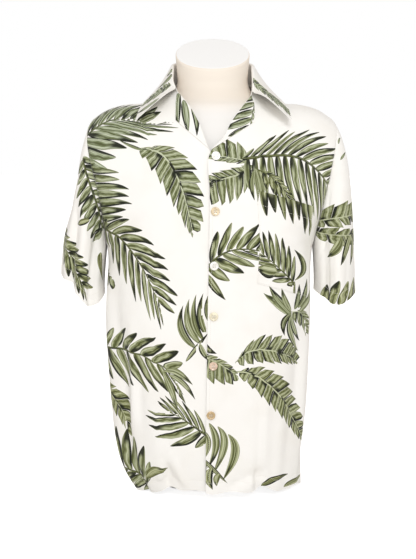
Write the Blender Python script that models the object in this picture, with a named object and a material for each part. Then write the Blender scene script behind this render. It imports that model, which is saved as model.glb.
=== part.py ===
# Camp-collar shirt with short sleeves, buttoned on a limbless dress form.
# Metres, +Z up. The front faces -Y and the wearer's left side is +X.
# The origin is the middle of the form's flat underside.
#
# Every cloth piece is a grid of points on its middle surface, which is then
# given the wall's thickness. The first index of a grid runs up the garment,
# or down a sleeve; the second runs from the front edge, the middle of the
# back or the neck towards the side.

import math

import bmesh
import bpy
import numpy as np
from mathutils import Matrix, Vector

MM = 0.001

# ---- driving sizes, in millimetres ----------------------------------------

WALL = 1.2             # thickness of the cloth's wall
SEAM_GAP = 0.36        # between two pieces along a seam
LAY_GAP = 0.35         # between a piece and what lies on it

LOWER_ROWS = 11        # grid rows from the hem to the underarm
UPPER_ROWS = 12        # grid rows from the underarm to the shoulder
FRONT_COLUMNS = 12     # from the front edge to the side, and along the shoulder
NECK_COLUMNS = 4       # half of the back neckline
SLEEVE_ROWS = 8        # from the armhole to the cuff
FINE = 4               # finer steps of the worked surface for each grid step

ARMHOLE_TOP = 662      # height of the shoulder point
ARMHOLE_BOTTOM = 437   # height of the underarm
ARMHOLE_MIDDLE = 7     # y of the shoulder point and the underarm
ARMHOLE_FRONT = 57     # reach of the armhole to the front and to the back
ARMHOLE_BACK = 54

UNDERARM_LAP = 1.8     # how far out of the body the sleeve starts at the underarm

BUTTON_DIAMETER = 15
BUTTON_THICKNESS = 2.6
BUTTON_RIM = 1.6       # width of the raised rim
BUTTON_DISH = 0.7      # depth of the dished middle
BUTTON_HOLE = 1.7      # diameter of each of the four holes
BUTTON_HOLE_SPREAD = 1.75  # from the middle of the button to a hole, along x and y


def table(names, *rows):
    columns = zip(*rows)
    return {name: np.array(column, dtype=float) for name, column in zip(names.split(), columns)}


# The front edges, from the hem up to the break, along the roll line to the
# gorge, and along the neckline to the shoulder. "at" is the share of the rows.
LEFT_EDGE = table(
    "at     x      y      z",
    (0.000, -12.2, -116.0, 15),
    (0.120, -11.6, -121.0, 115),
    (0.240, -10.2, -124.5, 220),
    (0.350, -8.6, -126.5, 325),
    (0.430, -7.0, -126.0, 400),
    (0.500, -6.0, -123.5, 462),
    (0.600, -5.0, -115.5, 536),
    (0.700, -4.0, -104.0, 606),
    (0.755, 17.8, -95.0, 631),
    (0.810, 31.5, -84.0, 656),
    (0.865, 47.0, -71.0, 677),
    (0.920, 65.0, -46.0, 700),
    (1.000, 72.5, 4.0, 718),
)
RIGHT_EDGE = table(
    "at     x      y      z",
    (0.000, 13.0, -109.5, 17),
    (0.120, 13.2, -117.8, 116),
    (0.240, 14.0, -121.2, 221),
    (0.350, 15.0, -123.2, 326),
    (0.430, 16.0, -122.7, 401),
    (0.500, 16.5, -120.2, 462),
    (0.600, 16.0, -112.3, 534),
    (0.660, 10.0, -105.2, 578),
    (0.700, -3.0, -101.0, 604),
    (0.755, -14.5, -93.0, 632),
    (0.810, -23.5, -84.0, 655),
    (0.865, -39.0, -70.0, 682),
    (0.920, -60.0, -47.0, 707),
    (1.000, -72.5, 4.0, 718),
)
# The middle of the back, from the hem to the neckline.
BACK_EDGE = table(
    "at     x    y      z",
    (0.000, 0.0, 110.0, 7),
    (0.120, 0.0, 115.0, 112),
    (0.240, 0.0, 117.0, 220),
    (0.350, 0.0, 119.0, 325),
    (0.430, 0.0, 121.5, 400),
    (0.500, 0.0, 124.5, 462),
    (0.600, 0.0, 127.0, 530),
    (0.700, 0.0, 125.0, 594),
    (0.800, 0.0, 117.0, 650),
    (0.880, 0.0, 107.0, 687),
    (0.950, 0.0, 94.0, 713),
    (1.000, 0.0, 81.0, 727),
)
# The side seams, by height. The wearer's right one tucks in above the hem.
LEFT_SIDE = table(
    "z    x      y",
    (2.5, 161.5, 4),
    (34, 160.5, 4),
    (62, 160.0, 4),
    (100, 164.5, 5),
    (155, 169.5, 6),
    (247, 173.0, 7),
    (320, 175.5, 8),
    (380, 175.0, 8),
    (410, 175.5, 8),
    (437, 178.0, 7),
)
RIGHT_SIDE = table(
    "z    x      y",
    (3, -139.0, 6),
    (34, -159.5, 5),
    (62, -170.5, 4),
    (100, -178.0, 5),
    (155, -183.0, 6),
    (247, -189.0, 7),
    (320, -191.5, 8),
    (380, -188.0, 8),
    (410, -186.0, 8),
    (437, -188.0, 7),
)
# How far out the armhole seam lies, by height.
LEFT_ARMHOLE = table(
    "z    x",
    (437, 178), (462, 181), (500, 190), (542, 199.5), (580, 207.5),
    (608, 213), (630, 216.5), (650, 216), (662, 211),
)
RIGHT_ARMHOLE = table(
    "z    x",
    (437, -188), (462, -189), (500, -194), (550, -203), (580, -211),
    (608, -217), (630, -219.5), (650, -217), (662, -211),
)
# The shoulder seam, from the neck to the shoulder point.
SHOULDER = table(
    "along  x      y    z",
    (0.00, 72.5, 4.0, 718),
    (0.15, 95.0, 3.5, 701.5),
    (0.28, 113.0, 4.0, 692.5),
    (0.37, 125.0, 4.5, 689.5),
    (0.54, 149.0, 5.5, 688),
    (0.80, 186.0, 6.5, 678),
    (1.00, 211.0, 7.0, 662),
)
# The back neckline, from its middle to the shoulder seam.
BACK_NECK = table(
    "along  x      y     z",
    (0.00, 0.0, 81.0, 727),
    (0.30, 31.0, 74.5, 726),
    (0.60, 57.0, 53.0, 723.5),
    (0.82, 69.0, 28.0, 720.5),
    (1.00, 72.5, 4.0, 718),
)
# How square the turn from the front or back to the side is: 2 is an ellipse.
FRONT_TURN = table(
    "at    power",
    (0.00, 2.30), (0.30, 2.45), (0.50, 2.40), (0.65, 2.05), (0.80, 1.70), (1.00, 1.30),
)
BACK_TURN = table(
    "at    power",
    (0.00, 2.30), (0.30, 2.35), (0.50, 2.35), (0.70, 2.25), (0.85, 2.10), (1.00, 1.90),
)

# Soft folds: where the middle of each lies between the edge (0) and the side
# (1) at its lower and upper end, which share of the rows it covers, how wide
# its half is, as a share of the row, and how far it stands out (+) or in (-).
FRONT_LEFT_FOLDS = table(
    "low    high   start  end    half   depth",
    (0.62, 0.66, -0.20, 0.42, 0.060, -3.5),
    (0.78, 0.80, -0.20, 0.50, 0.055, 4.0),
    (0.33, 0.40, -0.20, 0.28, 0.080, 2.5),
    (0.86, 0.55, 0.30, 0.62, 0.060, 2.5),
)
FRONT_RIGHT_FOLDS = table(
    "low    high   start  end    half   depth",
    (0.66, 0.72, -0.20, 0.48, 0.050, -4.5),
    (0.78, 0.82, -0.20, 0.52, 0.060, 4.0),
    (0.42, 0.46, -0.20, 0.30, 0.070, 3.0),
    (0.85, 0.60, 0.34, 0.60, 0.060, 2.0),
)
BACK_FOLDS = table(
    "low    high   start  end    half   depth",
    (0.05, 0.04, -0.20, 0.66, 0.070, -5.0),
    (0.20, 0.16, -0.20, 0.60, 0.060, 5.5),
    (0.38, 0.34, -0.20, 0.46, 0.070, -4.0),
    (0.55, 0.52, -0.20, 0.55, 0.070, 4.0),
    (0.80, 0.74, -0.20, 0.40, 0.060, 3.0),
)
# Waves of the hem: "along" the row from the edge, how far the hem is lifted
# there, over which half width, and how far it curls in towards the form.
FRONT_LEFT_HEM = table(
    "along  lift  half   curl",
    (0.20, 4.0, 0.12, 3.0),
    (0.42, 11.0, 0.09, 7.0),
    (0.74, 8.0, 0.12, 5.0),
)
FRONT_RIGHT_HEM = table(
    "along  lift  half   curl",
    (0.18, 5.0, 0.10, 3.0),
    (0.39, 12.0, 0.09, 8.0),
    (0.70, -5.0, 0.16, 0.0),
)
BACK_HEM = table(
    "along  lift  half   curl",
    (0.14, 4.0, 0.11, 2.0),
    (0.46, 5.0, 0.10, 3.0),
    (0.74, 4.0, 0.10, 2.0),
)
HEM_REACH = 0.11       # share of the rows over which the hem's waves fade out

# The cuffs: middle and half size of the opening, and its height on the outer
# side, at the front, on the inner side and at the back. "flare" is how steeply
# the sleeve leaves the shoulder, and "low_at" where the cuff hangs lowest, in
# degrees from its outer side towards the front; a higher "dip" narrows that.
LEFT_CUFF = {
    "x": 219.0, "y": -1, "half_x": 36.5, "half_y": 72, "outer": 357, "front": 341, "inner": 359, "back": 352,
    "flare": 0.23, "low_at": 92, "dip": 3,
}
RIGHT_CUFF = {
    "x": -232.5, "y": -1, "half_x": 38, "half_y": 70, "outer": 388, "front": 335, "inner": 353, "back": 366,
    "flare": 0.05, "low_at": 124, "dip": 4,
}
# Folds of the sleeves: where round the sleeve each lies, in degrees from the
# shoulder towards the front, at its upper and lower end.
LEFT_SLEEVE_FOLDS = table(
    "high  low   start  end   half  depth",
    (72, 96, 0.25, 1.30, 16, 3.5),
    (112, 122, 0.10, 1.30, 14, -4.0),
    (250, 245, 0.20, 1.30, 18, -4.0),
)
RIGHT_SLEEVE_FOLDS = table(
    "high  low   start  end   half  depth",
    (62, 64, 0.40, 1.30, 11, -9.0),
    (86, 90, 0.30, 1.30, 13, 6.0),
    (116, 122, 0.15, 1.30, 11, -8.0),
    (8, 14, 0.20, 0.80, 40, -5.0),
    (250, 245, 0.20, 1.30, 18, -4.0),
)

# The collar, from the middle of the back to its front end: the roll at its
# top, a point a third of the way down its fall, and its outer edge. Its lower
# edge follows the neckline.
LEFT_COLLAR = table(
    "along  roll_x roll_y roll_z  mid_x mid_y mid_z  edge_x edge_y edge_z",
    (0.00, 0.0, 78.0, 764, 0.0, 92.0, 746, 0.0, 109.0, 708),
    (0.25, 43.0, 63.5, 763, 55.0, 76.0, 744, 74.0, 92.0, 705),
    (0.50, 69.0, 22.0, 759, 83.0, 27.0, 739, 108.0, 34.0, 701),
    (0.68, 70.5, -5.0, 750, 86.0, -6.0, 732, 118.0, -10.0, 697),
    (0.85, 70.0, -31.0, 729, 84.0, -41.0, 712, 128.0, -46.0, 682),
    (1.00, 67.5, -48.0, 712, 71.5, -68.0, 691, 132.5, -74.0, 665),
)
RIGHT_COLLAR = table(
    "along  roll_x roll_y roll_z  mid_x mid_y mid_z  edge_x edge_y edge_z",
    (0.00, 0.0, 78.0, 764, 0.0, 92.0, 746, 0.0, 109.0, 708),
    (0.25, -43.0, 63.5, 763, -55.0, 76.0, 744, -74.0, 92.0, 705),
    (0.50, -68.5, 22.0, 759, -82.0, 27.0, 739, -106.0, 34.0, 701),
    (0.68, -69.5, -5.0, 750, -84.0, -6.0, 731, -115.0, -10.0, 697),
    (0.85, -68.5, -31.0, 733, -80.0, -42.0, 716, -124.0, -46.0, 681),
    (1.00, -63.0, -49.0, 719, -64.0, -70.0, 692, -129.5, -76.0, 663),
)
COLLAR_RISE = 1.0      # of the collar's wall above the middle of the neckline's
SHOULDER_SHARE = 0.6   # where the collar passes the shoulder seam
COLLAR_STEPS = 14      # from the middle of the back to each end
ROLL_RADIUS = 2.6      # of the fold at the top of the collar

# Lapels: the notch, the corner and the break, as seen from the front.
LEFT_LAPEL = {"notch": (70.5, 689.0), "corner": (72.0, 657.0), "break": (-1.0, 611.0)}
RIGHT_LAPEL = {"notch": (-63.0, 690.5), "corner": (-63.0, 659.0), "break": (-8.0, 613.0)}
GORGE_SHARE = 0.920    # where the gorge and the break lie, as shares of the rows
BREAK_SHARE = 0.712
LAPEL_ROWS = 8
LAPEL_COLUMNS = 6
LAPEL_ROLL = 3.0       # how much further out the lapel lies at its roll line

# The pocket's corners, as seen from the front.
POCKET = {"top_in": (75, 541), "top_out": (174, 512), "low_in": (75.5, 384), "low_out": (169, 350)}
POCKET_ROWS = 9
POCKET_COLUMNS = 8

# Buttons: where each one's middle lies, as seen from the front.
BUTTONS = table(
    "x    z",
    (5.1, 599.3), (4.2, 506.3), (2.4, 414.5), (1.7, 328.2), (0.9, 242.3), (-3.1, 155.7),
)

# The dress form: half width, reach to the front and to the back, and how
# square the section is, by height. "slant" tips the section up at the back.
FORM = table(
    "z    half   front  back  power  slant",
    (0, 84, 52, 70, 2.3, 0),
    (3, 87, 55, 73, 2.3, 0),
    (30, 102, 72, 82, 2.3, 0),
    (80, 124, 90, 91, 2.3, 0),
    (150, 142, 97, 97, 2.3, 0),
    (230, 150, 98, 96, 2.3, 0),
    (310, 155, 101, 99, 2.3, 0),
    (380, 162, 106, 106, 2.3, 0),
    (430, 168, 109, 112, 2.3, 0),
    (470, 173, 109, 116, 2.3, 0),
    (520, 183, 105, 118, 2.2, 0),
    (570, 196, 97, 117, 2.1, 0),
    (610, 204, 87, 108, 2.0, 0),
    (638, 205, 77, 94, 1.9, 0),
    (656, 199, 68, 81, 1.8, 0),
    (670, 182, 59, 70, 1.7, 0.01),
    (681, 144, 53, 57, 1.7, 0.02),
    (688, 106, 52, 56, 1.75, 0.04),
    (697, 85, 53, 62, 1.85, 0.06),
    (709, 69, 54, 66, 2.0, 0.10),
    (724, 62.5, 55, 65, 2.1, 0.18),
    (742, 62.5, 55.5, 63, 2.1, 0.30),
    (760, 64.0, 57, 62, 2.1, 0.42),
    (774, 65.0, 58, 62, 2.1, 0.50),
    (776, 64.0, 57, 61, 2.1, 0.50),
)
FORM_STEPS = 36

CLOTH = {"colour": (0.86, 0.84, 0.78, 1), "roughness": 0.8, "metallic": 0.0}
PRINT_CLOTH = {"colour": (0.42, 0.47, 0.32, 1), "roughness": 0.8, "metallic": 0.0}
PEARL = {"colour": (0.80, 0.74, 0.62, 1), "roughness": 0.3, "metallic": 0.0}
FORM_COVER = {"colour": (0.86, 0.82, 0.76, 1), "roughness": 0.6, "metallic": 0.0}


# ---- curves ---------------------------------------------------------------

def smooth(knots, values, where):
    # A soft curve through the knots (cubic, with the slope of its neighbours).
    where = np.asarray(where, dtype=float)
    slopes = np.gradient(values, knots)
    cell = np.clip(np.searchsorted(knots, where, side="right") - 1, 0, len(knots) - 2)
    span = knots[cell + 1] - knots[cell]
    step = (where - knots[cell]) / span
    rise = step * step * (3 - 2 * step)
    start = step * (1 - step) ** 2 * span * slopes[cell]
    end = step * step * (step - 1) * span * slopes[cell + 1]
    return values[cell] * (1 - rise) + values[cell + 1] * rise + start + end


def track(rows, key, where, names=("x", "y", "z")):
    return np.stack([smooth(rows[key], rows[name], where) for name in names], axis=-1)


def fade(value, start, end):
    share = np.clip((value - start) / (end - start), 0, 1)
    return share * share * (3 - 2 * share)


def armhole(outline, turn):
    # One turn round the armhole: 0 at the shoulder, half a turn at the underarm.
    middle = (ARMHOLE_TOP + ARMHOLE_BOTTOM) / 2
    height = middle + (ARMHOLE_TOP - ARMHOLE_BOTTOM) / 2 * np.cos(turn)
    reach = np.where(np.sin(turn) > 0, ARMHOLE_FRONT, ARMHOLE_BACK)
    y = ARMHOLE_MIDDLE - reach * np.sin(turn)
    return np.stack([smooth(outline["z"], outline["x"], height), y, height], axis=-1)


def turned_row(inner, outer, power, share):
    # From the inner edge round to the side: a quarter of a rounded section,
    # with its points at the given shares of its length.
    angle = np.linspace(0, math.pi / 2, 160)
    out = np.sin(angle) ** (2 / power)
    keep = np.cos(angle) ** (2 / power)
    x = inner[0] + (outer[0] - inner[0]) * out
    y = outer[1] + (inner[1] - outer[1]) * keep
    length = np.concatenate([[0], np.cumsum(np.hypot(np.diff(x), np.diff(y)))])
    length /= length[-1]
    z = inner[2] + (outer[2] - inner[2]) * share
    return np.stack([np.interp(share, length, x), np.interp(share, length, y), z], axis=-1)


# ---- worked surfaces ------------------------------------------------------

def grid_normals(grid, closed=False):
    if closed:
        along = np.roll(grid, -1, axis=1) - np.roll(grid, 1, axis=1)
    else:
        along = np.gradient(grid, axis=1)
    up = np.gradient(grid, axis=0)
    normals = np.cross(along, up)
    return normals / np.maximum(np.linalg.norm(normals, axis=-1, keepdims=True), 1e-12)


def surface_normals(grid, closed=False):
    # The normals, pointing away from the piece's own axis or the garment's.
    normals = grid_normals(grid, closed)
    row = len(grid) // 2
    axis = grid[row].mean(axis=0) if closed else np.zeros(3)
    away = grid[row] - axis
    return normals if np.sum((away * normals[row])[:, :2]) > 0 else -normals


def folded(grid, shares, rows, folds, hem):
    # Moves the surface out and in at its soft folds, and lifts the hem's waves.
    normals = surface_normals(grid)
    at = rows[:, None]
    move = np.zeros(grid.shape[:2])
    for low, high, start, end, half, depth in zip(*folds.values()):
        centre = low + (high - low) * np.clip((at - max(start, 0)) / (end - max(start, 0)), 0, 1)
        away = (shares[None, :] - centre) / half
        length = fade(at, start, start + 0.15) * (1 - fade(at, end - 0.22, end))
        move += depth * np.exp(-away * away) * length
    ends = fade(shares, 0, 0.06) * (1 - fade(shares, 0.94, 1.0))
    grid = grid + normals * (move * ends[None, :])[..., None]
    low = 1 - fade(at, 0, HEM_REACH)
    for along, lift, half, curl in zip(*hem.values()):
        away = (shares[None, :] - along) / half
        wave = np.exp(-away * away) * low * ends[None, :]
        grid[..., 2] += lift * wave
        grid -= normals * (curl * wave * low)[..., None]
    return grid


def row_places():
    lower = np.linspace(0, 0.5, LOWER_ROWS * FINE + 1)
    upper = np.linspace(0.5, 1, UPPER_ROWS * FINE + 1)
    return np.concatenate([lower, upper[1:]])


def side_edge(side, outline, rows, front):
    # The side seam up to the underarm, then the armhole up to the shoulder.
    low = side["z"][0]
    heights = low + (side["z"][-1] - low) * np.clip(rows / 0.5, 0, 1)
    seam = np.stack([smooth(side["z"], side["x"], heights), smooth(side["z"], side["y"], heights), heights], axis=-1)
    turn = math.pi * (1 - (rows - 0.5) / 0.5)
    hole = armhole(outline, turn if front else 2 * math.pi - turn)
    return np.where(rows[:, None] <= 0.5, seam, hole)


def panel(edge, side_points, turn, shares, top, folds, hem):
    rows = row_places()
    inner = track(edge, "at", rows)
    powers = smooth(turn["at"], turn["power"], rows)
    grid = np.stack([turned_row(a, b, power, shares) for a, b, power in zip(inner, side_points, powers)])
    blend = fade(rows, 0.68, 1.0) ** 2
    grid = grid + blend[:, None, None] * (top - grid[-1])[None]
    return folded(grid, shares, rows, folds, hem)


def front_surface(edge, side, outline, sign, folds, hem):
    shares = np.linspace(0, 1, FRONT_COLUMNS * FINE + 1)
    top = track(SHOULDER, "along", shares) * (sign, 1, 1)
    side_points = side_edge(side, outline, row_places(), True)
    return panel(edge, side_points, FRONT_TURN, shares, top, folds, hem)


def back_half(side, outline, sign):
    neck_share = 0.4
    neck = np.linspace(0, neck_share, NECK_COLUMNS * FINE + 1)
    shoulder = np.linspace(neck_share, 1, FRONT_COLUMNS * FINE + 1)
    shares = np.concatenate([neck, shoulder[1:]])
    top = np.concatenate([
        track(BACK_NECK, "along", neck / neck_share),
        track(SHOULDER, "along", (shoulder[1:] - neck_share) / (1 - neck_share)),
    ]) * (sign, 1, 1)
    side_points = side_edge(side, outline, row_places(), False)
    return panel(BACK_EDGE, side_points, BACK_TURN, shares, top, BACK_FOLDS, BACK_HEM)


def back_surface():
    # Both halves join along the middle of the back, without a seam.
    right = back_half(RIGHT_SIDE, RIGHT_ARMHOLE, -1)
    left = back_half(LEFT_SIDE, LEFT_ARMHOLE, 1)
    return np.concatenate([right[:, ::-1], left[:, 1:]], axis=1)


def sleeve_surface(outline, cuff, sign, folds):
    turn = np.linspace(0, 2 * math.pi, 2 * UPPER_ROWS * FINE + 1)[:-1]
    start = armhole(outline, turn)
    front = np.clip(np.cos(turn - math.radians(cuff["low_at"])), 0, None)
    back = np.clip(-np.sin(turn), 0, None)
    outer = (1 + np.cos(turn)) / 2
    sides = cuff["inner"] + (cuff["outer"] - cuff["inner"]) * outer
    height = sides + (cuff["front"] - sides) * front ** cuff["dip"] + (cuff["back"] - sides) * back ** 2
    end = np.stack([
        cuff["x"] + sign * cuff["half_x"] * np.cos(turn),
        cuff["y"] - cuff["half_y"] * np.sin(turn),
        height,
    ], axis=-1)
    length = np.linalg.norm(end - start, axis=-1, keepdims=True)
    leave_out = sign * (0.10 + cuff["flare"] * outer ** 2)
    leave = length * np.stack([leave_out, -0.16 * np.sin(turn), -(0.42 + 0.5 * (1 - outer))], axis=-1)
    arrive = length * np.stack([sign * 0.03 * outer, 0 * turn, -1.05 + 0 * turn], axis=-1)
    rows = np.linspace(0, 1, SLEEVE_ROWS * FINE + 1)
    step = rows[:, None, None]
    rise = step * step * (3 - 2 * step)
    grid = start * (1 - rise) + end * rise + leave * step * (1 - step) ** 2 + arrive * step * step * (step - 1)
    normals = surface_normals(grid, closed=True)
    degrees = np.degrees(turn)[None, :]
    for high, low, first, last, half, depth in zip(*folds.values()):
        centre = high + (low - high) * rows[:, None]
        away = (degrees - centre + 180) % 360 - 180
        reach = fade(rows, first, first + 0.25) * (1 - fade(rows, last - 0.2, last))
        grid = grid + normals * (depth * np.exp(-(away / half) ** 2) * reach[:, None])[..., None]
    return grid


def clear_of_side(grid, sign):
    # Sets the sleeve's wall outside the body's wall at the underarm.
    turn = np.linspace(0, 2 * math.pi, grid.shape[1] + 1)[:-1]
    lap = UNDERARM_LAP * ((1 - np.cos(turn)) / 2) ** 2
    grid[..., 0] += sign * lap[None, :] * np.linspace(1, 0, len(grid))[:, None]


def neckline(front_edge, sign, places):
    # The back neckline as far as the shoulder seam, then the front's to the gorge.
    back = track(BACK_NECK, "along", np.clip(places / SHOULDER_SHARE, 0, 1)) * (sign, 1, 1)
    down = np.clip((places - SHOULDER_SHARE) / (1 - SHOULDER_SHARE), 0, 1)
    front = track(front_edge, "at", 1 + (GORGE_SHARE - 1) * down)
    return np.where(places[:, None] < SHOULDER_SHARE, back, front) + (0, 0, COLLAR_RISE)


def collar_half(rows, front_edge, sign):
    places = np.linspace(0, 1, COLLAR_STEPS + 1)
    seam = neckline(front_edge, sign, places)
    roll = track(rows, "along", places, ("roll_x", "roll_y", "roll_z"))
    mid = track(rows, "along", places, ("mid_x", "mid_y", "mid_z"))
    edge = track(rows, "along", places, ("edge_x", "edge_y", "edge_z"))
    strips = []
    for low, top, third, tip in zip(seam, roll, mid, edge):
        out = third - top
        out[2] = 0
        out /= max(np.linalg.norm(out), 1e-9)
        rise = top - low
        radius = min(ROLL_RADIUS, 0.3 * np.linalg.norm(rise))
        centre = top - np.array([0, 0, radius]) + out * radius
        stand = [low + (centre - out * radius - low) * share for share in (0, 0.35, 0.7, 0.95)]
        arc = [centre + radius * (np.array([0, 0, math.sin(a)]) - out * math.cos(a)) for a in np.radians((35, 90, 145))]
        begin = centre + out * radius * 1.05
        fall = [smooth(np.array([0, 0.34, 1.0]), np.array([begin[i], third[i], tip[i]]), np.linspace(0.1, 1, 7)) for i in range(3)]
        strips.append(np.concatenate([stand, arc, np.stack(fall, axis=-1)]))
    return np.stack(strips)


def collar_surface():
    right = collar_half(RIGHT_COLLAR, RIGHT_EDGE, -1)
    left = collar_half(LEFT_COLLAR, LEFT_EDGE, 1)
    return np.concatenate([right[::-1], left[1:]], axis=0).transpose(1, 0, 2)


# ---- places on a surface --------------------------------------------------

def on_surface(surface, place):
    # The point and the normal at a place given in grid steps.
    grid, normals = surface
    row = min(max(place[0], 0), len(grid) - 1.0001)
    column = min(max(place[1], 0), grid.shape[1] - 1.0001)
    r, c = int(row), int(column)
    a, b = row - r, column - c

    def between(values):
        low = (1 - b) * values[r, c] + b * values[r, c + 1]
        high = (1 - b) * values[r + 1, c] + b * values[r + 1, c + 1]
        return (1 - a) * low + a * high

    normal = between(normals)
    return between(grid), normal / np.linalg.norm(normal)


def find_place(surface, x, z):
    # The place on a front panel that is seen at x and z from the front.
    grid = surface[0]
    away = np.hypot(grid[..., 0] - x, grid[..., 2] - z)
    place = np.array(np.unravel_index(np.argmin(away), away.shape), dtype=float)
    for _ in range(12):
        here = on_surface(surface, place)[0]
        up = on_surface(surface, place + (0.1, 0))[0] - on_surface(surface, place - (0.1, 0))[0]
        along = on_surface(surface, place + (0, 0.1))[0] - on_surface(surface, place - (0, 0.1))[0]
        square = np.array([[up[0], along[0]], [up[2], along[2]]]) / 0.2
        step = np.linalg.solve(square + np.eye(2) * 1e-6, np.array([x - here[0], z - here[2]]))
        place = place + np.clip(step, -1, 1)
        place[0] = min(max(place[0], 0), len(grid) - 1)
        place[1] = min(max(place[1], 0), grid.shape[1] - 1)
    return place


def laid_on(surface, places, lifts):
    # Points of a panel moved out by the given lifts.
    points = []
    for row_places_, row_lifts in zip(places, lifts):
        line = []
        for place, lift in zip(row_places_, row_lifts):
            point, normal = on_surface(surface, place)
            line.append(point + normal * lift)
        points.append(line)
    return np.array(points)


def lapel_surface(surface, lapel):
    # Rows run from the gorge down to the break; columns from the roll outwards.
    top_row = LOWER_ROWS + UPPER_ROWS * (GORGE_SHARE - 0.5) / 0.5
    low_row = LOWER_ROWS + UPPER_ROWS * (BREAK_SHARE - 0.5) / 0.5
    corner_share = 0.45
    places, lifts = [], []
    for share in np.linspace(0, 1, LAPEL_ROWS + 1):
        roll_place = np.array([top_row + (low_row - top_row) * share, 0.0])
        if share <= corner_share:
            mix = share / corner_share
            first, last = lapel["notch"], lapel["corner"]
        else:
            mix = (share - corner_share) / (1 - corner_share)
            first, last = lapel["corner"], lapel["break"]
        x = first[0] + (last[0] - first[0]) * mix
        z = first[1] + (last[1] - first[1]) * mix
        outer_place = find_place(surface, x, z)
        columns = np.linspace(0, 1, LAPEL_COLUMNS + 1)
        places.append([roll_place + (outer_place - roll_place) * c for c in columns])
        roll = LAPEL_ROLL * (1 - 0.6 * share)
        lifts.append([WALL + LAY_GAP + 0.4 + roll * (1 - c) ** 2 for c in columns])
    return laid_on(surface, places, lifts)


def pocket_surface(surface):
    corners = {name: find_place(surface, *place) for name, place in POCKET.items()}
    places, lifts = [], []
    for up in np.linspace(0, 1, POCKET_ROWS + 1):
        inner = corners["low_in"] + (corners["top_in"] - corners["low_in"]) * up
        outer = corners["low_out"] + (corners["top_out"] - corners["low_out"]) * up
        along = np.linspace(0, 1, POCKET_COLUMNS + 1)
        places.append([inner + (outer - inner) * share for share in along])
        gape = 1.5 * up ** 3
        lifts.append([WALL + LAY_GAP + 0.3 + 1.3 * share ** 2 + gape * math.sin(math.pi * share) for share in along])
    return laid_on(surface, places, lifts)


# ---- solids ---------------------------------------------------------------

def material(name, look):
    made = bpy.data.materials.new(name)
    made.use_nodes = True
    shader = made.node_tree.nodes["Principled BSDF"]
    shader.inputs["Base Color"].default_value = look["colour"]
    shader.inputs["Roughness"].default_value = look["roughness"]
    shader.inputs["Metallic"].default_value = look["metallic"]
    made.diffuse_color = look["colour"]
    return made


def add_object(name, points, faces, look):
    mesh = bpy.data.meshes.new(name)
    mesh.from_pydata([tuple(point) for point in points], [], faces)
    mesh.materials.append(material(name, look))
    mesh.shade_smooth()
    made = bpy.data.objects.new(name, mesh)
    bpy.context.scene.collection.objects.link(made)
    return made


def edge_drawn_in(grid, closed, amount):
    # Draws the open edges of a piece back from its seams.
    grid = grid.copy()

    def draw(border, inner):
        away = inner - border
        return border + away / np.linalg.norm(away, axis=-1, keepdims=True) * amount

    grid[0], grid[-1] = draw(grid[0], grid[1]), draw(grid[-1], grid[-2])
    if not closed:
        grid[:, 0], grid[:, -1] = draw(grid[:, 0], grid[:, 1]), draw(grid[:, -1], grid[:, -2])
    return grid


def seam_key(point):
    return tuple(int(round(value * 20)) for value in point)


def shared_normals(surfaces):
    # Where pieces meet, both take the mean normal, so that their walls end on
    # the same slant and stay the same distance apart.
    pieces = [(grid, normals, name.startswith("sleeve")) for name, (grid, normals) in surfaces.items()]
    totals = {}
    for grid, normals, closed in pieces:
        for row in range(grid.shape[0]):
            for column in range(grid.shape[1]):
                inside = 0 < row < grid.shape[0] - 1 and (closed or 0 < column < grid.shape[1] - 1)
                if not inside:
                    key = seam_key(grid[row, column])
                    totals[key] = totals.get(key, 0) + normals[row, column]
    for grid, normals, closed in pieces:
        for row in range(grid.shape[0]):
            for column in range(grid.shape[1]):
                total = totals.get(seam_key(grid[row, column]))
                if total is not None:
                    normals[row, column] = total / np.linalg.norm(total)


def wall_solid(name, grid, normals, look, closed=False, wall=WALL):
    # Thickens a grid into a closed wall with a rim round its open edges.
    rows, columns = grid.shape[:2]
    drawn = edge_drawn_in(grid, closed, SEAM_GAP / 2)
    outer = drawn + normals * (wall / 2)
    inner = drawn - normals * (wall / 2)
    points = np.concatenate([outer.reshape(-1, 3), inner.reshape(-1, 3)]) * MM
    count = rows * columns

    def corner(row, column, layer):
        return layer * count + row * columns + column % columns

    faces = []
    for row in range(rows - 1):
        for column in range(columns if closed else columns - 1):
            ring = [(row, column), (row, column + 1), (row + 1, column + 1), (row + 1, column)]
            faces.append([corner(r, c, 0) for r, c in ring])
            faces.append([corner(r, c, 1) for r, c in reversed(ring)])
    border = []
    if closed:
        border.append([(0, c) for c in range(columns + 1)])
        border.append([(rows - 1, c) for c in range(columns, -1, -1)])
    else:
        border.append(
            [(0, c) for c in range(columns)]
            + [(r, columns - 1) for r in range(1, rows)]
            + [(rows - 1, c) for c in range(columns - 2, -1, -1)]
            + [(r, 0) for r in range(rows - 2, -1, -1)]
        )
    for line in border:
        for first, second in zip(line, line[1:]):
            faces.append([corner(*second, 0), corner(*first, 0), corner(*first, 1), corner(*second, 1)])
    made = add_object(name, points, faces, look)
    set_outward(made)
    return made


def set_outward(made):
    # Splits the faces into triangles and turns them to point out.
    work = bmesh.new()
    work.from_mesh(made.data)
    bmesh.ops.triangulate(work, faces=work.faces)
    bmesh.ops.recalc_face_normals(work, faces=work.faces)
    if work.calc_volume(signed=True) < 0:
        bmesh.ops.reverse_faces(work, faces=work.faces)
    work.to_mesh(made.data)
    work.free()


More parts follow.
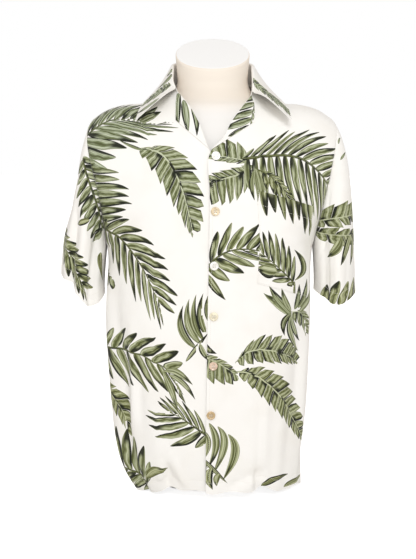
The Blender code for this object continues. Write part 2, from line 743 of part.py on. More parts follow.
def make_form():
    points, faces = [], []
    angles = np.linspace(0, 2 * math.pi, FORM_STEPS, endpoint=False)
    for z, half, front, back, power, slant in zip(*FORM.values()):
        for angle in angles:
            out, side = math.cos(angle), math.sin(angle)
            x = half * math.copysign(abs(side) ** (2 / power), side)
            y = (back if out > 0 else front) * math.copysign(abs(out) ** (2 / power), out)
            points.append(np.array([x, y, z + slant * y]) * MM)
    rings = len(FORM["z"])
    for ring in range(rings - 1):
        for step in range(FORM_STEPS):
            near, far = ring * FORM_STEPS, (ring + 1) * FORM_STEPS
            after = (step + 1) % FORM_STEPS
            faces.append([near + step, near + after, far + after, far + step])
    faces.append(list(range(FORM_STEPS)))
    faces.append([(rings - 1) * FORM_STEPS + step for step in range(FORM_STEPS)])
    made = add_object("dress_form", points, faces, FORM_COVER)
    set_outward(made)
    return made


def button_mesh():
    # A dished disc with a raised, rounded rim, then four holes through it.
    radius = BUTTON_DIAMETER / 2
    half = BUTTON_THICKNESS / 2
    profile = [
        (0, -half), (radius * 0.8, -half), (radius, -half * 0.1), (radius - BUTTON_RIM * 0.35, half),
        (radius - BUTTON_RIM, half * 0.85), (radius - BUTTON_RIM * 1.5, half - BUTTON_DISH), (0, half - BUTTON_DISH),
    ]
    work = bmesh.new()
    line = [work.verts.new((r * MM, 0, h * MM)) for r, h in profile]
    edges = [work.edges.new(pair) for pair in zip(line, line[1:])]
    bmesh.ops.spin(work, geom=line + edges, cent=(0, 0, 0), axis=(0, 0, 1), angle=2 * math.pi, steps=20)
    bmesh.ops.remove_doubles(work, verts=work.verts, dist=0.00001)
    bmesh.ops.recalc_face_normals(work, faces=work.faces)
    mesh = bpy.data.meshes.new("button")
    work.to_mesh(mesh)
    work.free()
    return mesh


def hole_cutter():
    work = bmesh.new()
    for right in (-1, 1):
        for up in (-1, 1):
            place = Matrix.Translation((right * BUTTON_HOLE_SPREAD * MM, up * BUTTON_HOLE_SPREAD * MM, 0))
            bmesh.ops.create_cone(
                work, cap_ends=True, segments=8, radius1=BUTTON_HOLE / 2 * MM, radius2=BUTTON_HOLE / 2 * MM,
                depth=4 * BUTTON_THICKNESS * MM, matrix=place,
            )
    mesh = bpy.data.meshes.new("hole_cutter")
    work.to_mesh(mesh)
    work.free()
    made = bpy.data.objects.new("hole_cutter", mesh)
    bpy.context.scene.collection.objects.link(made)
    made.hide_render = True
    made.display_type = "WIRE"
    return made


def make_buttons(surface):
    mesh = button_mesh()
    mesh.materials.append(material("button", PEARL))
    for number, (x, z) in enumerate(zip(BUTTONS["x"], BUTTONS["z"]), 1):
        point, normal = on_surface(surface, find_place(surface, x, z))
        lift = WALL / 2 + LAY_GAP + 0.15 + BUTTON_THICKNESS / 2
        out = Vector(normal)
        turn = out.to_track_quat("Z", "Y").to_matrix().to_4x4()
        place = Matrix.Translation(Vector((point + normal * lift) * MM)) @ turn
        made = bpy.data.objects.new(f"button_{number}", mesh)
        bpy.context.scene.collection.objects.link(made)
        made.matrix_world = place
        cutter = hole_cutter()
        cutter.name = f"hole_cutter_{number}"
        cutter.matrix_world = place
        cut = made.modifiers.new("holes", "BOOLEAN")
        cut.operation = "DIFFERENCE"
        cut.solver = "EXACT"
        cut.object = cutter


def coarse(grid):
    return grid[::FINE, ::FINE]


def main():
    for old in list(bpy.data.objects):
        bpy.data.objects.remove(old)

    sewn = {
        "front_left": coarse(front_surface(LEFT_EDGE, LEFT_SIDE, LEFT_ARMHOLE, 1, FRONT_LEFT_FOLDS, FRONT_LEFT_HEM)),
        "front_right": coarse(
            front_surface(RIGHT_EDGE, RIGHT_SIDE, RIGHT_ARMHOLE, -1, FRONT_RIGHT_FOLDS, FRONT_RIGHT_HEM)),
        "back": coarse(back_surface()),
        "sleeve_left": coarse(sleeve_surface(LEFT_ARMHOLE, LEFT_CUFF, 1, LEFT_SLEEVE_FOLDS)),
        "sleeve_right": coarse(sleeve_surface(RIGHT_ARMHOLE, RIGHT_CUFF, -1, RIGHT_SLEEVE_FOLDS)),
    }
    surfaces = {name: (grid, surface_normals(grid, name.startswith("sleeve"))) for name, grid in sewn.items()}
    left, right = surfaces["front_left"], surfaces["front_right"]
    laid = {
        "lapel_left": lapel_surface(left, LEFT_LAPEL),
        "lapel_right": lapel_surface(right, RIGHT_LAPEL),
        "pocket": pocket_surface(left),
        "collar": collar_surface(),
    }
    make_buttons(left)
    shared_normals(surfaces)
    clear_of_side(surfaces["sleeve_left"][0], 1)
    clear_of_side(surfaces["sleeve_right"][0], -1)
    for name, (grid, normals) in surfaces.items():
        wall_solid(name, grid, normals, CLOTH, closed=name.startswith("sleeve"))
    for name, grid in laid.items():
        wall_solid(name, grid, surface_normals(grid), PRINT_CLOTH)
    make_form()


main()
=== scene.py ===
import math
from functools import partialmethod

import bmesh
import bpy
import numpy as np
from mathutils import Matrix, Vector
from mathutils.bvhtree import BVHTree


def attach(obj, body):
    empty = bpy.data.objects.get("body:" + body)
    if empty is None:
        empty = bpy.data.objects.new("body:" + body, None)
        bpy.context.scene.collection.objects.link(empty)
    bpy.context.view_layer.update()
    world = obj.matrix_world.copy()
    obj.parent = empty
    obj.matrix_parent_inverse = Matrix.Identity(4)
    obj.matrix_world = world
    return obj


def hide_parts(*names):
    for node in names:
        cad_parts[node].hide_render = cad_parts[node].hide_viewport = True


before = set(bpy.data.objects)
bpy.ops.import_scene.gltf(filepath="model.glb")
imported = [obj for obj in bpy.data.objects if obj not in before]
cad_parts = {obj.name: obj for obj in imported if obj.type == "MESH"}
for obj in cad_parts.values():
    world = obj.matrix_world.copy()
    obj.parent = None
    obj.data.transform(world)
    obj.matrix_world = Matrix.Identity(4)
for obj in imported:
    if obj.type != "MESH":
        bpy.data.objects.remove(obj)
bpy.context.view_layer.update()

mm = 0.001

# Printed camp shirt on a torso form. Metres in the scene, millimetres in the
# tables below. The front faces -Y and the wearer's left side is +X.


def table(names, *rows):
    return {name: np.array(column, dtype=float) for name, column in zip(names.split(), zip(*rows))}


def smooth(knots, values, where):
    # a soft curve through the knots
    where = np.asarray(where, dtype=float)
    slopes = np.gradient(values, knots)
    cell = np.clip(np.searchsorted(knots, where, side="right") - 1, 0, len(knots) - 2)
    span = knots[cell + 1] - knots[cell]
    step = (where - knots[cell]) / span
    rise = step * step * (3 - 2 * step)
    start = step * (1 - step) ** 2 * span * slopes[cell]
    end = step * step * (step - 1) * span * slopes[cell + 1]
    return values[cell] * (1 - rise) + values[cell + 1] * rise + start + end


def track(rows, key, where, names=("x", "y", "z")):
    return np.stack([smooth(rows[key], rows[name], where) for name in names], axis=-1)


def fade(value, start, end):
    share = np.clip((value - start) / (end - start), 0, 1)
    return share * share * (3 - 2 * share)


def summed(steps, axis=0):
    # running totals of the steps along an axis, from nought
    return np.insert(np.cumsum(steps, axis=axis), 0, 0, axis=axis)


def paced(points, axis=0):
    # distance along lines of points
    return summed(np.linalg.norm(np.diff(points, axis=axis), axis=-1), axis)


# Sizes of the cut that can be changed. Steps are rows and columns of the cloth's points.
shirtCut = {
    "wall": 0.9,            # thickness of the cloth
    "lowerSteps": 80,       # rows from the hem to the underarm
    "upperSteps": 96,       # rows from the underarm to the shoulder
    "frontSteps": 96,       # columns from the front edge to the side
    "neckSteps": 24,        # columns of half the back neckline
    "neckShare": 0.4,       # of the back's columns that lie at the neckline
    "sleeveSteps": 56,      # rows down a sleeve
    "creaseDepth": 1.5,     # of every small crease, against the depths below
    "hemDepth": 20.0,       # of the turned hem and cuffs
    "hemReach": 0.11,       # share of the rows that the hem's waves lift
    "hemSwell": 0.25,       # how far its double cloth stands out
    "stitchPull": 0.45,     # how far its stitching pulls in, over this half width
    "stitchHalf": 1.6,
    "seamDip": 0.55,        # of an edge that is sewn under its neighbour
    "bodyLength": 870,      # along the cloth from the hem to the shoulder
    "sleeveLength": 275,
    "armholeTop": 662, "armholeBottom": 437, "armholeMiddle": 7, "armholeFront": 57, "armholeBack": 54,
    "underarmLap": 1.8,     # how far the sleeve stands outside the body's cloth there
}

# edges of the panels from the hem (0) to the shoulder (1)
leftEdge = table(
    "at x y z",
    (0, -12.2, -116, 15), (0.12, -11.6, -121, 115), (0.24, -10.2, -124.5, 220),
    (0.35, -8.6, -126.5, 325), (0.43, -7, -126, 400), (0.5, -6, -123.5, 462), (0.6, -5, -115.5, 536),
    (0.7, -4, -104, 606), (0.755, 17.8, -95, 631), (0.81, 31.5, -84, 656), (0.865, 47, -71, 677),
    (0.92, 65, -46, 700), (1, 72.5, 4, 718),
)
rightEdge = table(
    "at x y z",
    (0, 13, -109.5, 17), (0.12, 13.2, -117.8, 116), (0.24, 14, -121.2, 221), (0.35, 15, -123.2, 326),
    (0.43, 16, -122.7, 401), (0.5, 16.5, -120.2, 462), (0.6, 16, -112.3, 534), (0.66, 10, -105.2, 578),
    (0.7, -3, -101, 604), (0.755, -14.5, -93, 632), (0.81, -23.5, -84, 655), (0.865, -39, -70, 682),
    (0.92, -60, -47, 707), (1, -72.5, 4, 718),
)
backEdge = table(
    "at x y z",
    (0, 0, 110, 7), (0.12, 0, 115, 112), (0.24, 0, 117, 220), (0.35, 0, 119, 325), (0.43, 0, 121.5, 400),
    (0.5, 0, 124.5, 462), (0.6, 0, 127, 530), (0.7, 0, 125, 594), (0.8, 0, 117, 650),
    (0.88, 0, 107, 687), (0.95, 0, 94, 713), (1, 0, 81, 727),
)
leftSide = table(
    "z x y",
    (2.5, 161.5, 4), (34, 160.5, 4), (62, 160, 4), (100, 164.5, 5), (155, 169.5, 6), (247, 173, 7),
    (320, 175.5, 8), (380, 175, 8), (410, 175.5, 8), (437, 178, 7),
)
rightSide = table(
    "z x y",
    (3, -139, 6), (34, -159.5, 5), (62, -170.5, 4), (100, -178, 5), (155, -183, 6), (247, -189, 7),
    (320, -191.5, 8), (380, -188, 8), (410, -186, 8), (437, -188, 7),
)
leftArmhole = table(
    "z x",
    (437, 178), (462, 181), (500, 190), (542, 199.5), (580, 207.5), (608, 213), (630, 216.5), (650, 216),
    (662, 211),
)
rightArmhole = table(
    "z x",
    (437, -188), (462, -189), (500, -194), (550, -203), (580, -211), (608, -217), (630, -219.5),
    (650, -217), (662, -211),
)
shoulderSeam = table(
    "along x y z",
    (0, 72.5, 4, 718), (0.15, 95, 3.5, 701.5), (0.28, 113, 4, 692.5), (0.37, 125, 4.5, 689.5),
    (0.54, 149, 5.5, 688), (0.8, 186, 6.5, 678), (1, 211, 7, 662),
)
backNeck = table(
    "along x y z",
    (0, 0, 81, 727), (0.3, 31, 74.5, 726), (0.6, 57, 53, 723.5), (0.82, 69, 28, 720.5),
    (1, 72.5, 4, 718),
)
# how squarely a row turns from the front or the back to the side
frontTurn = table(
    "at power",
    (0, 2.3), (0.3, 2.45), (0.5, 2.4), (0.65, 2.05), (0.8, 1.7), (1, 1.3),
)
backTurn = table(
    "at power",
    (0, 2.3), (0.3, 2.35), (0.5, 2.35), (0.7, 2.25), (0.85, 2.1), (1, 1.9),
)
# large soft folds: where they lie along a row, which rows they cover, half width and depth
frontLeftFolds = table(
    "low high start end half depth",
    (0.62, 0.66, -0.2, 0.42, 0.06, -3.5), (0.78, 0.8, -0.2, 0.5, 0.055, 4),
    (0.33, 0.4, -0.2, 0.28, 0.08, 2.5), (0.86, 0.55, 0.3, 0.62, 0.06, 2.5),
)
frontRightFolds = table(
    "low high start end half depth",
    (0.66, 0.72, -0.2, 0.48, 0.045, -6.5), (0.78, 0.82, -0.2, 0.52, 0.055, 5.5),
    (0.42, 0.46, -0.2, 0.3, 0.07, 3), (0.85, 0.6, 0.34, 0.6, 0.06, 2),
)
backFolds = table(
    "low high start end half depth",
    (0.05, 0.04, -0.2, 0.66, 0.07, -5), (0.2, 0.16, -0.2, 0.6, 0.06, 5.5),
    (0.38, 0.34, -0.2, 0.46, 0.07, -4), (0.55, 0.52, -0.2, 0.55, 0.07, 4),
    (0.8, 0.74, -0.2, 0.4, 0.06, 3),
)
# waves of the hem
frontLeftHem = table(
    "along lift half curl",
    (0.03, -3, 0.08, 0), (0.22, 4, 0.12, 3), (0.44, 12, 0.075, 8), (0.6, 1, 0.06, 0), (0.78, 7, 0.1, 5),
)
frontRightHem = table(
    "along lift half curl",
    (0.03, -3, 0.08, 0), (0.22, 3, 0.1, 2), (0.41, 8.5, 0.07, 6), (0.66, -5, 0.16, 0),
)
backHem = table(
    "along lift half curl",
    (0.14, 4, 0.11, 2), (0.46, 5, 0.1, 3), (0.74, 4, 0.1, 2),
)
leftCuff = {
    "x": 219, "y": -1, "halfX": 36.5, "halfY": 72, "outer": 357, "front": 341, "inner": 359, "back": 352,
    "flare": 0.23, "lowAt": 92, "dip": 3,
}
rightCuff = {
    "x": -232.5, "y": -1, "halfX": 38, "halfY": 70, "outer": 388, "front": 335, "inner": 353, "back": 366,
    "flare": 0.05, "lowAt": 124, "dip": 4,
}
# how a sleeve leaves the armhole and arrives at the cuff, as shares of its length
sleeveHang = {"out": 0.10, "away": 0.16, "down": 0.42, "steeper": 0.5, "cuffOut": 0.03, "cuffDown": 1.05}
# folds of the sleeves: degrees round from the shoulder to the front, high and low on the
# sleeve, the rows they cover as shares of the way down, half width and depth
leftSleeveFolds = table(
    "high low start end half depth",
    (72, 96, 0.25, 1.3, 16, 3.5), (112, 122, 0.1, 1.3, 14, -4), (250, 245, 0.2, 1.3, 18, -4),
)
rightSleeveFolds = table(
    "high low start end half depth",
    (62, 64, 0.4, 1.3, 11, -9), (86, 90, 0.3, 1.3, 13, 6), (116, 122, 0.15, 1.3, 11, -8),
    (8, 14, 0.2, 0.8, 40, -5), (250, 245, 0.2, 1.3, 18, -4),
)
# smaller creases of the panels, placed as seen from the front or the back:
# both ends, how far the middle bows to the left of the way up, half width and depth
frontLeftCreases = table(
    "x0 z0 x1 z1 bow half depth",
    (146, 150, 157, 330, 4, 6, -1.8), (158, 110, 168, 300, 3, 6, 1.6), (92, 20, 100, 250, 5, 9, 1.6),
    (74, 10, 80, 205, -4, 8, -1.5), (120, 12, 126, 190, 4, 9, 1.3), (76, 14, 79, 58, 0, 6, -3.2),
    (60, 26, 74, 52, -3, 6, 2.6), (100, 20, 92, 54, 3, 7, 2), (16, 14, 96, 52, 6, 7, -1.9),
    (30, 6, 104, 34, 5, 6, 1.8), (20, 60, 150, 40, -10, 12, -0.9), (120, 505, 176, 440, 8, 9, -1.6),
    (134, 500, 184, 452, 8, 7, 1.4), (78, 560, 150, 600, 10, 12, -1), (30, 470, 66, 390, 4, 12, -0.8),
    (110, 668, 190, 600, 8, 10, -1), (60, 380, 68, 250, -2, 10, -0.7), (20, 330, 26, 200, 2, 12, 0.7),
)
frontRightCreases = table(
    "x0 z0 x1 z1 bow half depth",
    (-152, 92, -156, 320, -4, 7, -2.8), (-140, 100, -144, 330, -3, 6, 2.4),
    (-122, 104, -126, 300, 3, 8, -2), (-78, 16, -80, 66, 0, 6, -3.4), (-98, 30, -84, 58, -3, 6, 2.4),
    (-50, 16, -88, 84, 6, 7, -2.2), (-34, 14, -72, 92, 7, 7, 1.9), (-104, 60, -60, 118, -6, 9, -1.4),
    (-46, 26, -24, 130, 6, 12, 1), (-60, 120, -64, 260, 3, 12, -0.8),
    (-110, 500, -176, 446, -8, 9, -1.4), (-70, 520, -150, 470, -6, 11, 1),
    (-120, 660, -196, 610, -6, 10, -1), (-30, 420, -60, 330, -4, 12, -0.7),
)
backCreases = table(
    "x0 z0 x1 z1 bow half depth",
    (-146, 60, -152, 300, -4, 8, -1.8), (-118, 20, -112, 260, 4, 8, 1.5),
    (-60, 16, -66, 330, 5, 9, -1.6), (-22, 20, -16, 420, -4, 10, 1.3), (30, 14, 38, 300, 5, 9, -1.5),
    (76, 20, 70, 380, -5, 9, 1.5), (112, 18, 120, 240, 4, 8, -1.6), (148, 70, 154, 320, 3, 7, 1.5),
    (-178, 450, -110, 520, 8, 10, -1.6), (178, 446, 104, 512, -8, 10, -1.5),
    (-150, 560, -70, 600, 6, 12, 1), (150, 566, 60, 590, -8, 12, 1), (-60, 668, 60, 672, 8, 10, -1),
)
# creases of the sleeves: degrees round from the shoulder to the front, and share of the way down
leftSleeveCreases = table(
    "turn0 down0 turn1 down1 half depth",
    (120, 0.08, 134, 1.05, 5, -1.6), (104, 0.2, 112, 1.05, 5, 1.4), (58, 0.55, 70, 1.05, 7, -1),
    (86, 0.02, 130, 0.4, 7, -1.4), (30, 0.1, 44, 0.7, 10, 0.8), (216, 0.1, 232, 1.05, 7, -1.6),
    (262, 0.15, 252, 1.05, 7, 1.4), (310, 0.2, 300, 0.9, 9, -1.1),
)
rightSleeveCreases = table(
    "turn0 down0 turn1 down1 half depth",
    (74, 0.42, 78, 1.05, 5, -2.2), (100, 0.25, 106, 1.05, 5, 1.5), (128, 0.1, 136, 1.05, 5, -1.5),
    (50, 0.35, 44, 1.05, 6, 1.3), (30, 0.5, 22, 1.05, 8, -1.3), (84, 0.02, 122, 0.34, 7, -1.3),
    (214, 0.12, 230, 1.05, 7, -1.6), (262, 0.15, 254, 1.05, 7, 1.4), (312, 0.15, 300, 0.9, 9, -1.1),
)


def armhole(outline, turn):
    middle = (shirtCut["armholeTop"] + shirtCut["armholeBottom"]) / 2
    height = middle + (shirtCut["armholeTop"] - shirtCut["armholeBottom"]) / 2 * np.cos(turn)
    reach = np.where(np.sin(turn) > 0, shirtCut["armholeFront"], shirtCut["armholeBack"])
    y = shirtCut["armholeMiddle"] - reach * np.sin(turn)
    return np.stack([smooth(outline["z"], outline["x"], height), y, height], axis=-1)


def turnedRow(inner, outer, power, share):
    angle = np.linspace(0, math.pi / 2, 400)
    x = inner[0] + (outer[0] - inner[0]) * np.sin(angle) ** (2 / power)
    y = outer[1] + (inner[1] - outer[1]) * np.cos(angle) ** (2 / power)
    length = summed(np.hypot(np.diff(x), np.diff(y)))
    length /= length[-1]
    z = inner[2] + (outer[2] - inner[2]) * share
    return np.stack([np.interp(share, length, x), np.interp(share, length, y), z], axis=-1)


def outwardNormals(grid, closed=False):
    along = np.roll(grid, -1, axis=1) - np.roll(grid, 1, axis=1) if closed else np.gradient(grid, axis=1)
    normals = np.cross(along, np.gradient(grid, axis=0))
    normals /= np.maximum(np.linalg.norm(normals, axis=-1, keepdims=True), 1e-12)
    row = len(grid) // 2
    axis = grid[row].mean(axis=0) if closed else np.zeros(3)
    return normals if np.sum(((grid[row] - axis) * normals[row])[:, :2]) > 0 else -normals


def folded(grid, shares, rows, folds, hem):
    normals = outwardNormals(grid)
    at = rows[:, None]
    move = np.zeros(grid.shape[:2])
    for low, high, start, end, half, depth in zip(*folds.values()):
        centre = low + (high - low) * np.clip((at - max(start, 0)) / (end - max(start, 0)), 0, 1)
        away = (shares[None, :] - centre) / half
        length = fade(at, start, start + 0.15) * (1 - fade(at, end - 0.22, end))
        move += depth * np.exp(-away * away) * length
    ends = fade(shares, 0, 0.06) * (1 - fade(shares, 0.94, 1.0))
    grid = grid + normals * (move * ends[None, :])[..., None]
    low = 1 - fade(at, 0, shirtCut["hemReach"])
    for along, lift, half, curl in zip(*hem.values()):
        away = (shares[None, :] - along) / half
        wave = np.exp(-away * away) * low * ends[None, :]
        grid[..., 2] += lift * wave
        grid -= normals * (curl * wave * low)[..., None]
    return grid


def creased(grid, shares, rows, creases):
    # soft troughs and ridges along bowed lines, fading out at their ends and at the seams
    seen = grid[..., (0, 2)]
    move = np.zeros(grid.shape[:2])
    for x0, z0, x1, z1, bow, half, depth in zip(*creases.values()):
        start, way = np.array([x0, z0]), np.array([x1 - x0, z1 - z0])
        length = np.hypot(*way)
        way = way / length
        along = (seen - start) @ way / length
        away = (seen - start) @ np.array([-way[1], way[0]])
        away = away - bow * 4 * np.clip(along, 0, 1) * (1 - np.clip(along, 0, 1))
        reach = fade(along, -0.04, 0.3) * (1 - fade(along, 0.6, 1.04))
        move += depth * np.exp(-(away / half) ** 2) * reach
    ends = fade(shares, 0.0, 0.05)[None, :] * (1 - fade(shares, 0.95, 1.0))[None, :]
    ends = ends * (1 - fade(rows, 0.95, 1.0))[:, None]
    return grid + outwardNormals(grid) * (shirtCut["creaseDepth"] * move * ends)[..., None]


def turnedHem(grid, rows, length, closed=False):
    # the turned-up hem is thicker than the cloth above it, and its stitching pulls it in
    depth = shirtCut["hemDepth"]
    up = rows * length
    move = shirtCut["hemSwell"] * (1 - fade(up, depth - 1.2, depth + 0.4))
    move = move - shirtCut["stitchPull"] * np.exp(-((up - depth) / shirtCut["stitchHalf"]) ** 2)
    return grid + outwardNormals(grid, closed) * move[:, None, None]


def rowPlaces():
    # even rows, with some closer ones round the stitching of the hem
    lower = np.linspace(0, 0.5, shirtCut["lowerSteps"] + 1)
    upper = np.linspace(0.5, 1, shirtCut["upperSteps"] + 1)
    hem = shirtCut["hemDepth"] / shirtCut["bodyLength"]
    close = hem + np.array([-0.0035, -0.0012, 0.0012, 0.0035])
    return np.sort(np.concatenate([lower[np.abs(lower - hem) > 0.003], close, upper[1:]]))


def panel(edge, side, outline, front, turn, shares, top, folds, hem, creases):
    # half of the body: its inner edge, its side seam and armhole, and its rows between them
    rows = rowPlaces()
    low = side["z"][0]
    heights = low + (side["z"][-1] - low) * np.clip(rows / 0.5, 0, 1)
    seam = np.concatenate([track(side, "z", heights, ("x", "y")), heights[:, None]], axis=-1)
    around = math.pi * (1 - (rows - 0.5) / 0.5)
    hole = armhole(outline, around if front else 2 * math.pi - around)
    outer = np.where(rows[:, None] <= 0.5, seam, hole)
    powers = smooth(turn["at"], turn["power"], rows)
    inner = track(edge, "at", rows)
    grid = np.stack([turnedRow(a, b, power, shares) for a, b, power in zip(inner, outer, powers)])
    blend = fade(rows, 0.68, 1.0) ** 2
    grid = grid + blend[:, None, None] * (top - grid[-1])[None]
    grid = creased(folded(grid, shares, rows, folds, hem), shares, rows, creases)
    return turnedHem(grid, rows, shirtCut["bodyLength"])


def frontSurface(edge, side, outline, sign, folds, hem, creases):
    shares = np.linspace(0, 1, shirtCut["frontSteps"] + 1)
    top = track(shoulderSeam, "along", shares) * (sign, 1, 1)
    return panel(edge, side, outline, True, frontTurn, shares, top, folds, hem, creases)


def backHalf(side, outline, sign):
    neckShare = shirtCut["neckShare"]
    neck = np.linspace(0, neckShare, shirtCut["neckSteps"] + 1)
    shoulder = np.linspace(neckShare, 1, shirtCut["frontSteps"] + 1)[1:]
    top = np.concatenate([
        track(backNeck, "along", neck / neckShare),
        track(shoulderSeam, "along", (shoulder - neckShare) / (1 - neckShare)),
    ]) * (sign, 1, 1)
    shares = np.concatenate([neck, shoulder])
    return panel(backEdge, side, outline, False, backTurn, shares, top, backFolds, backHem, backCreases)


def backSurface():
    right = backHalf(rightSide, rightArmhole, -1)
    return np.concatenate([right[:, ::-1], backHalf(leftSide, leftArmhole, 1)[:, 1:]], axis=1)


def sleeveSurface(outline, cuff, sign, folds, creases):
    # starts and ends at the underarm, where the sleeve's own seam is
    turn = np.linspace(-math.pi, math.pi, 2 * shirtCut["upperSteps"] + 1)[:-1]
    start = armhole(outline, turn)
    front = np.clip(np.cos(turn - math.radians(cuff["lowAt"])), 0, None)
    back = np.clip(-np.sin(turn), 0, None)
    outer = (1 + np.cos(turn)) / 2
    sides = cuff["inner"] + (cuff["outer"] - cuff["inner"]) * outer
    height = sides + (cuff["front"] - sides) * front ** cuff["dip"] + (cuff["back"] - sides) * back ** 2
    cuffX, cuffY = cuff["x"] + sign * cuff["halfX"] * np.cos(turn), cuff["y"] - cuff["halfY"] * np.sin(turn)
    end = np.stack([cuffX, cuffY, height], axis=-1)
    length = np.linalg.norm(end - start, axis=-1, keepdims=True)
    leaveOut = sign * (sleeveHang["out"] + cuff["flare"] * outer ** 2)
    leaveDown = -(sleeveHang["down"] + sleeveHang["steeper"] * (1 - outer))
    leave = length * np.stack([leaveOut, -sleeveHang["away"] * np.sin(turn), leaveDown], axis=-1)
    arriveDown = -sleeveHang["cuffDown"] + 0 * turn
    arrive = length * np.stack([sign * sleeveHang["cuffOut"] * outer, 0 * turn, arriveDown], axis=-1)
    stitching = 1 - shirtCut["hemDepth"] / shirtCut["sleeveLength"]
    rows = np.linspace(0, 1, shirtCut["sleeveSteps"] + 1)
    rows = rows[np.abs(rows - stitching) > 0.012]
    rows = np.sort(np.concatenate([rows, stitching + np.array([-0.011, -0.004, 0.004, 0.011])]))
    step = rows[:, None, None]
    rise = step * step * (3 - 2 * step)
    grid = start * (1 - rise) + end * rise
    grid = grid + leave * step * (1 - step) ** 2 + arrive * step * step * (step - 1)
    normals = outwardNormals(grid, closed=True)

    def pressed(centre, half, depth, reach):
        away = (np.degrees(turn)[None, :] - centre + 180) % 360 - 180
        return grid + normals * (depth * np.exp(-(away / half) ** 2) * reach)[..., None]

    for high, low, first, last, half, depth in zip(*folds.values()):
        reach = fade(rows, first, first + 0.25) * (1 - fade(rows, last - 0.2, last))
        grid = pressed(high + (low - high) * rows[:, None], half, depth, reach[:, None])
    for turn0, down0, turn1, down1, half, depth in zip(*creases.values()):
        share = (rows[:, None] - down0) / (down1 - down0)
        reach = fade(share, 0, 0.35) * (1 - fade(share, 0.9, 1.3))
        grid = pressed(turn0 + (turn1 - turn0) * share, half, depth, reach)
    return turnedHem(grid, 1 - rows, shirtCut["sleeveLength"], closed=True)


def clearOfSide(piece, sign):
    # sets the sleeve's wall outside the body's at the underarm
    grid = piece["grid"]
    turn = np.linspace(-math.pi, math.pi, grid.shape[1] + 1)[:-1]
    lap = shirtCut["underarmLap"] * ((1 - np.cos(turn)) / 2) ** 2
    grid[..., 0] += sign * lap[None, :] * np.linspace(1, 0, len(grid))[:, None]


def onSurface(surface, place):
    grid = surface[0]
    row = min(max(place[0], 0), len(grid) - 1.0001)
    column = min(max(place[1], 0), grid.shape[1] - 1.0001)
    r, c = int(row), int(column)
    a, b = row - r, column - c
    found = []
    for values in surface:
        low = (1 - b) * values[r, c] + b * values[r, c + 1]
        high = (1 - b) * values[r + 1, c] + b * values[r + 1, c + 1]
        found.append((1 - a) * low + a * high)
    return found[0], found[1] / np.linalg.norm(found[1])


def findPlace(surface, x, z):
    # the place on a front panel that is seen at x and z from the front
    grid = surface[0]
    away = np.hypot(grid[..., 0] - x, grid[..., 2] - z)
    place = np.array(np.unravel_index(np.argmin(away), away.shape), dtype=float)
    for _ in range(10):
        here = onSurface(surface, place)[0]
        up, along = (
            onSurface(surface, place + step)[0] - onSurface(surface, place - step)[0]
            for step in (np.array([0.1, 0]), np.array([0, 0.1]))
        )
        square = np.array([[up[0], along[0]], [up[2], along[2]]]) / 0.2
        step = np.linalg.solve(square + np.eye(2) * 1e-6, np.array([x - here[0], z - here[2]]))
        place = place + np.clip(step, -1, 1)
        place = np.clip(place, 0, np.array(grid.shape[:2]) - 1)
    return place


def placed(name, data):
    made = bpy.data.objects.new(name, data)
    bpy.context.scene.collection.objects.link(made)
    return made


def meshOf(name, work):
    # the mesh that has been built up in work, which is freed
    mesh = bpy.data.meshes.new(name)
    work.to_mesh(mesh)
    work.free()
    return mesh


class Value:
    # a number, vector or colour in a node tree
    def __init__(self, socket):
        self.socket, self.tree = socket, socket.id_data

    def maths(self, operation, *others):
        return added(self.tree, "ShaderNodeMath", dict(enumerate((self, *others))), operation=operation)

    __add__, __sub__ = partialmethod(maths, "ADD"), partialmethod(maths, "SUBTRACT")
    __mul__, __truediv__ = partialmethod(maths, "MULTIPLY"), partialmethod(maths, "DIVIDE")
    over, under = partialmethod(maths, "GREATER_THAN"), partialmethod(maths, "LESS_THAN")
    power, size = partialmethod(maths, "POWER"), partialmethod(maths, "ABSOLUTE")
    sine, atLeast = partialmethod(maths, "SINE"), partialmethod(maths, "MAXIMUM")
    flipped = partialmethod(maths, "MULTIPLY_ADD", -1.0, 1.0)  # one less the value

    def rise(self, low, high):
        # soft step from 0 at low to 1 at high
        inputs = {"Value": self, "From Min": low, "From Max": high}
        return added(self.tree, "ShaderNodeMapRange", inputs, interpolation_type="SMOOTHSTEP")

    def clamped(self, low=0.0, high=1.0):
        return added(self.tree, "ShaderNodeClamp", {"Value": self, "Min": low, "Max": high})

    def between(self, low, high):
        # a number that goes from low to high
        return added(self.tree, "ShaderNodeMix", {0: self, 2: low, 3: high}, data_type="FLOAT")

    def blend(self, low, high):
        # a colour that goes from low to high
        return added(self.tree, "ShaderNodeMix", {0: self, 6: low, 7: high}, 2, data_type="RGBA")

    def parts(self, kind="ShaderNodeSeparateXYZ"):
        return [Value(output) for output in added(self.tree, kind, {0: self}).socket.node.outputs]


def feed(socket, value):
    if isinstance(value, Value):
        socket.id_data.links.new(value.socket, socket)
    elif isinstance(value, (tuple, list)) and len(value) == 3 and socket.type == "RGBA":
        socket.default_value = (*value, 1)
    else:
        socket.default_value = value


def added(tree, kind, inputs, output=0, **settings):
    # one more node, with its settings and inputs, given by one of its outputs
    made = tree.nodes.new(kind)
    for name, value in settings.items():
        setattr(made, name, value)
    for name, value in inputs.items():
        feed(made.inputs[name], value)
    return Value(made.outputs[output])


def nodeGroup(name, kind, inputs, output):
    # a tree with named inputs, their values in it, and the socket for its one output
    tree = bpy.data.node_groups.new(name, kind)
    for way, sockets in (("INPUT", inputs), ("OUTPUT", output)):
        for socket, sort in sockets.items():
            tree.interface.new_socket(socket, in_out=way, socket_type="NodeSocket" + sort)
    source, sink = tree.nodes.new("NodeGroupInput"), tree.nodes.new("NodeGroupOutput")
    return tree, {socket: Value(source.outputs[socket]) for socket in inputs}, sink.inputs[0]


def joined(*parts):
    tree = next(part.tree for part in parts if isinstance(part, Value))
    return added(tree, "ShaderNodeCombineXYZ", dict(enumerate(parts)))


